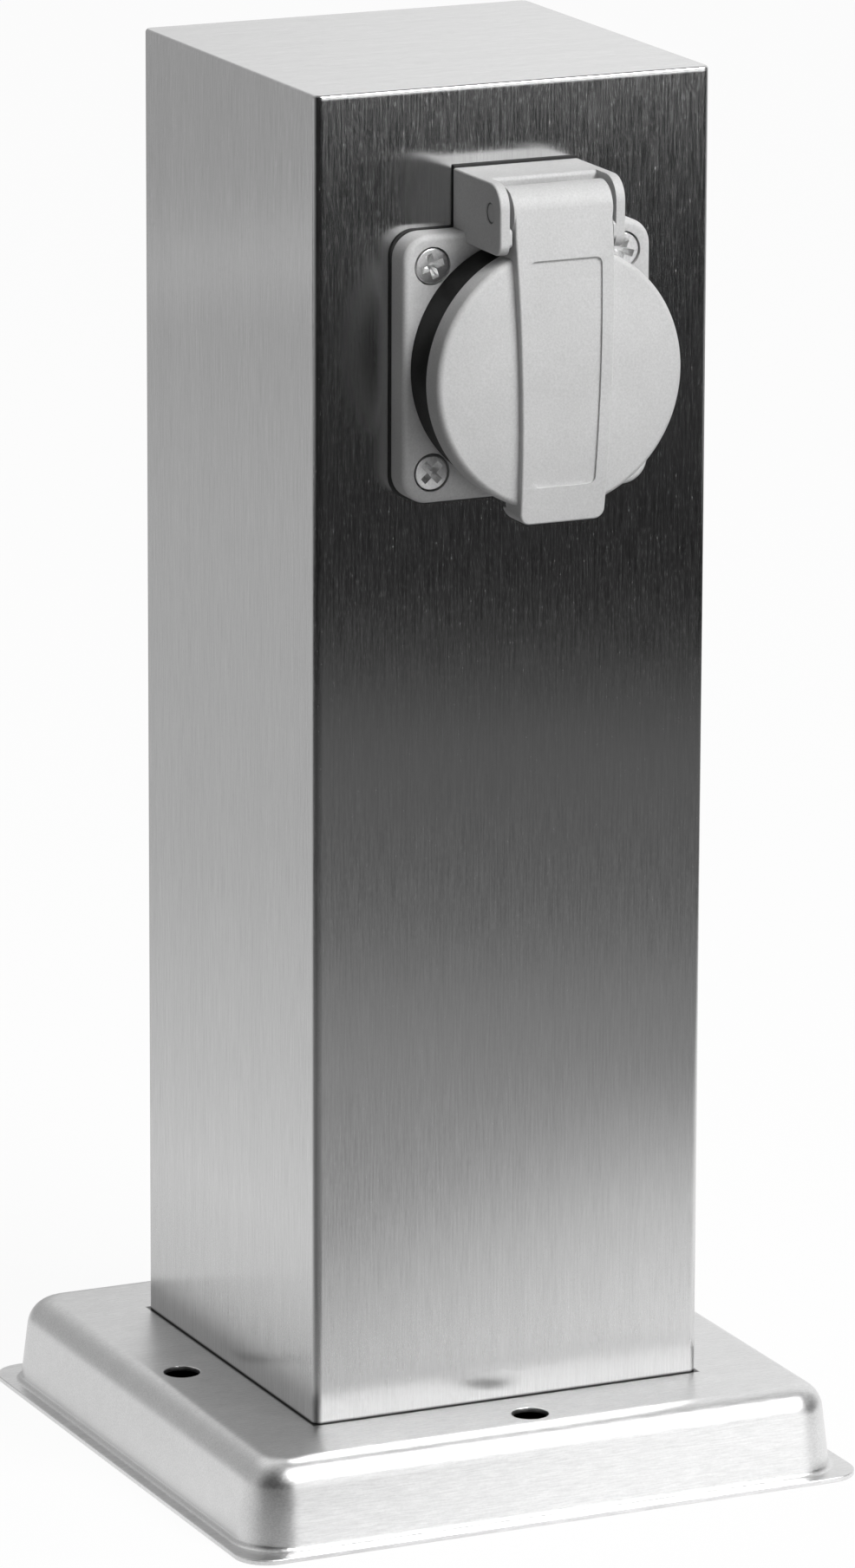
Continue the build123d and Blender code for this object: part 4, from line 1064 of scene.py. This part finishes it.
def floor_finish():
    """White sheet: partly lit by the lamps, so it keeps the shadow, partly plain white."""
    finish, tree, shader = new_finish("studio_floor")
    shader.inputs["Base Color"].default_value = (PAPER_WHITE, PAPER_WHITE, PAPER_WHITE, 1)
    shader.inputs["Roughness"].default_value = 0.9
    glow = add_node(tree, "ShaderNodeEmission")
    tree.links.new(beside_base(tree), glow.inputs["Strength"])
    mix = add_node(tree, "ShaderNodeMixShader")
    tree.links.new(combine(tree, "MULTIPLY", ray_share(tree), PLAIN_SHARE), mix.inputs["Fac"])
    tree.links.new(shader.outputs["BSDF"], mix.inputs[1])
    tree.links.new(glow.outputs["Emission"], mix.inputs[2])
    tree.links.new(mix.outputs["Shader"], tree.nodes["Material Output"].inputs["Surface"])
    return finish


floor = level_sheet("studio_floor", FLOOR_SIZE, 0, floor_finish())
floor.visible_glossy = False
floor.visible_diffuse = False
print("floor", FLOOR_SIZE, "m wide")

# %% [markdown]
# ## Distances on a sheet
# A studio wall or table is never evenly bright: it fades away from its lamp. Many lamps could do
# that slowly, or one sheet can do it at once, when the strength of its own light follows a ramp
# of levels over a distance. The distance runs along an axis, or round from a place.

# %% Distances on a sheet
def distance_to(tree, coordinates, place):
    """How far a point of the sheet is from a place."""
    apart = add_node(tree, "ShaderNodeVectorMath", operation="DISTANCE")
    apart.inputs[1].default_value = place
    tree.links.new(coordinates.outputs["Object"], apart.inputs[0])
    return apart.outputs["Value"]


def distance_along(tree, coordinates, axis):
    """How far along an axis a point of the sheet is."""
    along = add_node(tree, "ShaderNodeVectorMath", operation="DOT_PRODUCT")
    along.inputs[1].default_value = axis
    tree.links.new(coordinates.outputs["Object"], along.inputs[0])
    return along.outputs["Value"]


def level_ramp(tree, distance, stops):
    """A colour ramp through stops, each a distance and its level."""
    nearest, farthest = stops[0][0], stops[-1][0]
    ramp = add_node(tree, "ShaderNodeValToRGB")
    while len(ramp.color_ramp.elements) < len(stops):
        ramp.color_ramp.elements.new(0.5)
    for element, (reach, level) in zip(ramp.color_ramp.elements, stops):
        element.position = (reach - nearest) / (farthest - nearest)
        element.color = (level, level, level, 1)
    tree.links.new(spread(tree, distance, 0, 1, nearest, farthest), ramp.inputs["Fac"])
    return ramp.outputs["Color"]


print("distance helpers ready")

# %% [markdown]
# ## Graded light
# The finish of such a sheet is plain light with a ramp for its strength. The table also needs an
# end. It could be cut off in the mesh, but a hard edge would be mirrored as a hard line, so a
# sheet may fade to clear past an edge and past a rim instead. It may also darken a little where
# the object throws its own soft shadow, which plain light doesn't receive.

# %% Graded light
def clear_where(tree, surface, gone):
    """The surface, mixed with nothing at all where gone is 1."""
    clear = add_node(tree, "ShaderNodeBsdfTransparent")
    mix = add_node(tree, "ShaderNodeMixShader")
    tree.links.new(gone, mix.inputs["Fac"])
    tree.links.new(surface, mix.inputs[1])
    tree.links.new(clear.outputs["BSDF"], mix.inputs[2])
    return mix.outputs["Shader"]


def graded_finish(name, measure, stops, light=1.0, fades=(), shade=None):
    """Plain light whose strength follows a distance; measure is its function and its argument.

    A fade is a measure too, with the distances between which the sheet goes clear. A shade is
    the object's soft shadow: its place, its radius and how much light it leaves at its middle.
    """
    finish, tree, shader = new_finish(name)
    tree.nodes.remove(shader)
    coordinates = add_node(tree, "ShaderNodeTexCoord")
    find_distance, reference = measure
    distance = find_distance(tree, coordinates, reference)
    glow = add_node(tree, "ShaderNodeEmission")
    tree.links.new(level_ramp(tree, distance, stops), glow.inputs["Color"])
    strength = combine(tree, "MULTIPLY", beside_base(tree), light)
    if shade is not None:
        place, radius, left_over = shade
        shadow = spread(tree, distance_to(tree, coordinates, place), left_over, 1, 0, radius)
        strength = combine(tree, "MULTIPLY", strength, shadow)
    tree.links.new(strength, glow.inputs["Strength"])
    surface = glow.outputs["Emission"]
    gone = 0
    for find_distance, reference, starts, ends in fades:
        past = spread(tree, find_distance(tree, coordinates, reference), 0, 1, starts, ends)
        gone = combine(tree, "MAXIMUM", gone, past)
    if fades:
        surface = clear_where(tree, surface, gone)
    tree.links.new(surface, tree.nodes["Material Output"].inputs["Surface"])
    return finish


print("graded light ready")

# %% [markdown]
# ## Table
# The column's lower half mirrors the table top. A plain white table would make the left side
# white too, so its levels fall away behind and to the left, which gives that side its even grey.
# The table's front edge runs at a slant close before the base, and fades over ten centimetres,
# because a brushed face mirrors an edge softly.

# %% Table
MIRRORED_WAY = Vector((0.4177, -0.9086, 0.0))
TABLE_LIGHT = 1.1
TABLE_LEVELS = [
    (-1.2, 0.42), (-0.83, 0.50), (-0.65, 0.515), (-0.46, 0.54), (-0.28, 0.66),
    (-0.1, 0.84), (0.1, 1.0), (0.5, 1.0),
]
TABLE_EDGE = (distance_along, Vector((-0.55, -0.835, 0.0)), 0.058, 0.160)
TABLE_RIM = (distance_to, Vector((-0.2, 0.436, 0.0)), 0.63, 0.80)
TABLE_SHADE = ((-0.09, 0.04, 0), 0.12, 0.85)

table = level_sheet(
    "studio_table", FLOOR_SIZE, 0,
    graded_finish(
        "studio_table", (distance_along, MIRRORED_WAY), TABLE_LEVELS,
        light=TABLE_LIGHT, fades=(TABLE_EDGE, TABLE_RIM), shade=TABLE_SHADE,
    ),
)
seen_in_reflections_only(table)
print("table levels", [level for reach, level in TABLE_LEVELS])

# %% [markdown]
# ## Room floor
# Past the table's edge the column's front mirrors the floor of the room, half a metre lower: a
# grey band at half height, and darkness behind the lid. Painting the tones on the steel would be
# simpler, but they would stay there in any light and from any side. At each height the front
# shows another distance of the floor, so the levels are written for heights on the column, and a
# straight line turns a height into the distance that is mirrored there.

# %% Room floor
ROOM_DEPTH = 0.5
ROOM_SIZE = 6.2
MIRROR_START = 0.0363
MIRROR_SLOPE = 3.96
FRONT_LEVELS = [
    (0.02, 0.36), (0.08, 0.09), (0.116, 0.15), (0.146, 0.195), (0.160, 0.18), (0.174, 0.09),
    (0.188, 0.01), (0.230, 0.0), (0.256, 0.008), (0.280, 0.02), (0.330, 0.04),
]


def room_distance(height):
    """Where the column's front, at a height in metres, mirrors the room's floor."""
    return MIRROR_START + MIRROR_SLOPE * (height + ROOM_DEPTH)


room_stops = [(room_distance(height), level) for height, level in FRONT_LEVELS]
room = level_sheet(
    "studio_room_floor", ROOM_SIZE, -ROOM_DEPTH,
    graded_finish("studio_room_floor", (distance_to, (0, 0, -ROOM_DEPTH)), room_stops),
)
seen_in_reflections_only(room)
print("room floor mirrored from", round(room_stops[0][0], 2), "to", round(room_stops[-1][0], 2), "m")

# %% [markdown]
# ## Upright boards
# White boards stand round a product on the set to fill its dark sides. One stands far out in the
# mirrored direction: its bright lower part whitens the base's front wall and the rounded edge of
# the top, and its dimmer upper part keeps the column's top grey when seen from behind. The
# backdrop is what the base's top and the column's top mirror at a low angle. Real boards would
# light the plastic too; these are sheets with graded light, seen in reflections only.

# %% Upright boards
BOARD_DISTANCE = 3.3
BOARD_FOOT = -0.2
BOARD_WIDTH = 3.0
BOARD_HEIGHT = 2.2
BOARD_LIGHT = 2.3
BOARD_LEVELS = [(-0.2, 1.0), (0.2, 1.0), (0.28, 0.06), (0.40, 0.06), (0.5, 0.45), (2.0, 0.45)]
BACKDROP_DISTANCE = 1.1
BACKDROP_WIDTH = 6.0
BACKDROP_HEIGHT = 3.0
BACKDROP_SLANT = (0.7, 0, 0.7)
BACKDROP_LEVELS = [(0.2, 0.45), (0.52, 0.55), (0.60, 0.80), (0.74, 0.95), (1.2, 1.0)]
UPWARD = Vector((0, 0, 1))


def upright_sheet(name, way, distance, foot, width, height, finish):
    """An upright stage sheet that faces the object from one way, for reflections only."""
    place = way * distance + UPWARD * (foot + height / 2)
    turn = Matrix((UPWARD.cross(-way), UPWARD, -way)).transposed()
    sheet = stage_sheet(name, width, height, place, turn, finish)
    seen_in_reflections_only(sheet)
    print(name, [round(side, 2) for side in sheet.dimensions], "m")
    return sheet


upright_sheet(
    "studio_board", way=MIRRORED_WAY, distance=BOARD_DISTANCE, foot=BOARD_FOOT,
    width=BOARD_WIDTH, height=BOARD_HEIGHT,
    finish=graded_finish(
        "studio_board", (distance_along, UPWARD), BOARD_LEVELS, light=BOARD_LIGHT
    ),
)
upright_sheet(
    "studio_backdrop", way=Vector(TO_BACK), distance=BACKDROP_DISTANCE, foot=0,
    width=BACKDROP_WIDTH, height=BACKDROP_HEIGHT,
    finish=graded_finish("studio_backdrop", (distance_along, BACKDROP_SLANT), BACKDROP_LEVELS),
)

# %% [markdown]
# ## Lamps
# The light on the plastic is soft and comes from the front right and above: a large soft box, so
# the shadows under flange and strap have broad edges. A hard lamp would draw them as lines. A
# second, weak box lies low before the object. It stands for the light that a white table throws
# back up, and is hidden from reflections, where the table itself is seen.

# %% Lamps
def soft_lamp(name, place, aim, width, height, watts):
    """A rectangular soft box aimed at a point."""
    bpy.ops.object.light_add(type="AREA", location=place)
    lamp = bpy.context.object
    lamp.name = name
    lamp.data.shape = "RECTANGLE"
    lamp.data.size = width
    lamp.data.size_y = height
    lamp.data.energy = watts
    direction = Vector(aim) - Vector(place)
    lamp.rotation_euler = direction.to_track_quat("-Z", "Y").to_euler()
    print(name, watts, "W")
    return lamp


soft_lamp(
    "key_soft_box", place=(0.65, -1.4, 1.75), aim=(0, 0, 0.15), width=1.1, height=1.1, watts=51
)
table_bounce = soft_lamp(
    "table_bounce", place=(0.0, -1.6, 0.06), aim=(0, 0, 0.2), width=1.2, height=0.5, watts=7
)
table_bounce.visible_glossy = False

# %% [markdown]
# ## World
# The world is the white room round the set. The camera sees it plain white, and the steel mirrors
# it white behind the object and almost dark in front, where the camera stands. As a light it is
# dim, so that it doesn't fill the shadows. A closed room could be built for that, but it would
# keep out other light, so one background does all three, by the kind of ray.

# %% World
WORLD_LIGHT = 0.12
WORLD_FRONT = 0.025
WORLD_BACK = 0.95
WORLD_TURN = (-0.3, 0.6)


def studio_world():
    """White behind the object and greyer in front, as reflections see it; dim for lighting."""
    world = bpy.data.worlds.new("studio_world")
    bpy.context.scene.world = world
    world.use_nodes = True
    tree = world.node_tree
    background = tree.nodes["Background"]
    background.inputs["Color"].default_value = (1, 1, 1, 1)
    coordinates = add_node(tree, "ShaderNodeTexCoord")
    way = add_node(tree, "ShaderNodeSeparateXYZ")
    tree.links.new(coordinates.outputs["Generated"], way.inputs["Vector"])
    mirrored = spread(tree, way.outputs["Y"], WORLD_FRONT, WORLD_BACK, *WORLD_TURN)
    path = add_node(tree, "ShaderNodeLightPath")
    seen = combine(tree, "MAXIMUM", mirrored, path.outputs["Is Camera Ray"])
    share = ray_share(tree)
    lighting = combine(tree, "MULTIPLY", combine(tree, "SUBTRACT", 1.0, share), WORLD_LIGHT)
    strength = combine(tree, "ADD", combine(tree, "MULTIPLY", seen, share), lighting)
    tree.links.new(strength, background.inputs["Strength"])
    return world


print("world", studio_world().name)
bpy.context.scene.view_settings.view_transform = "Standard"
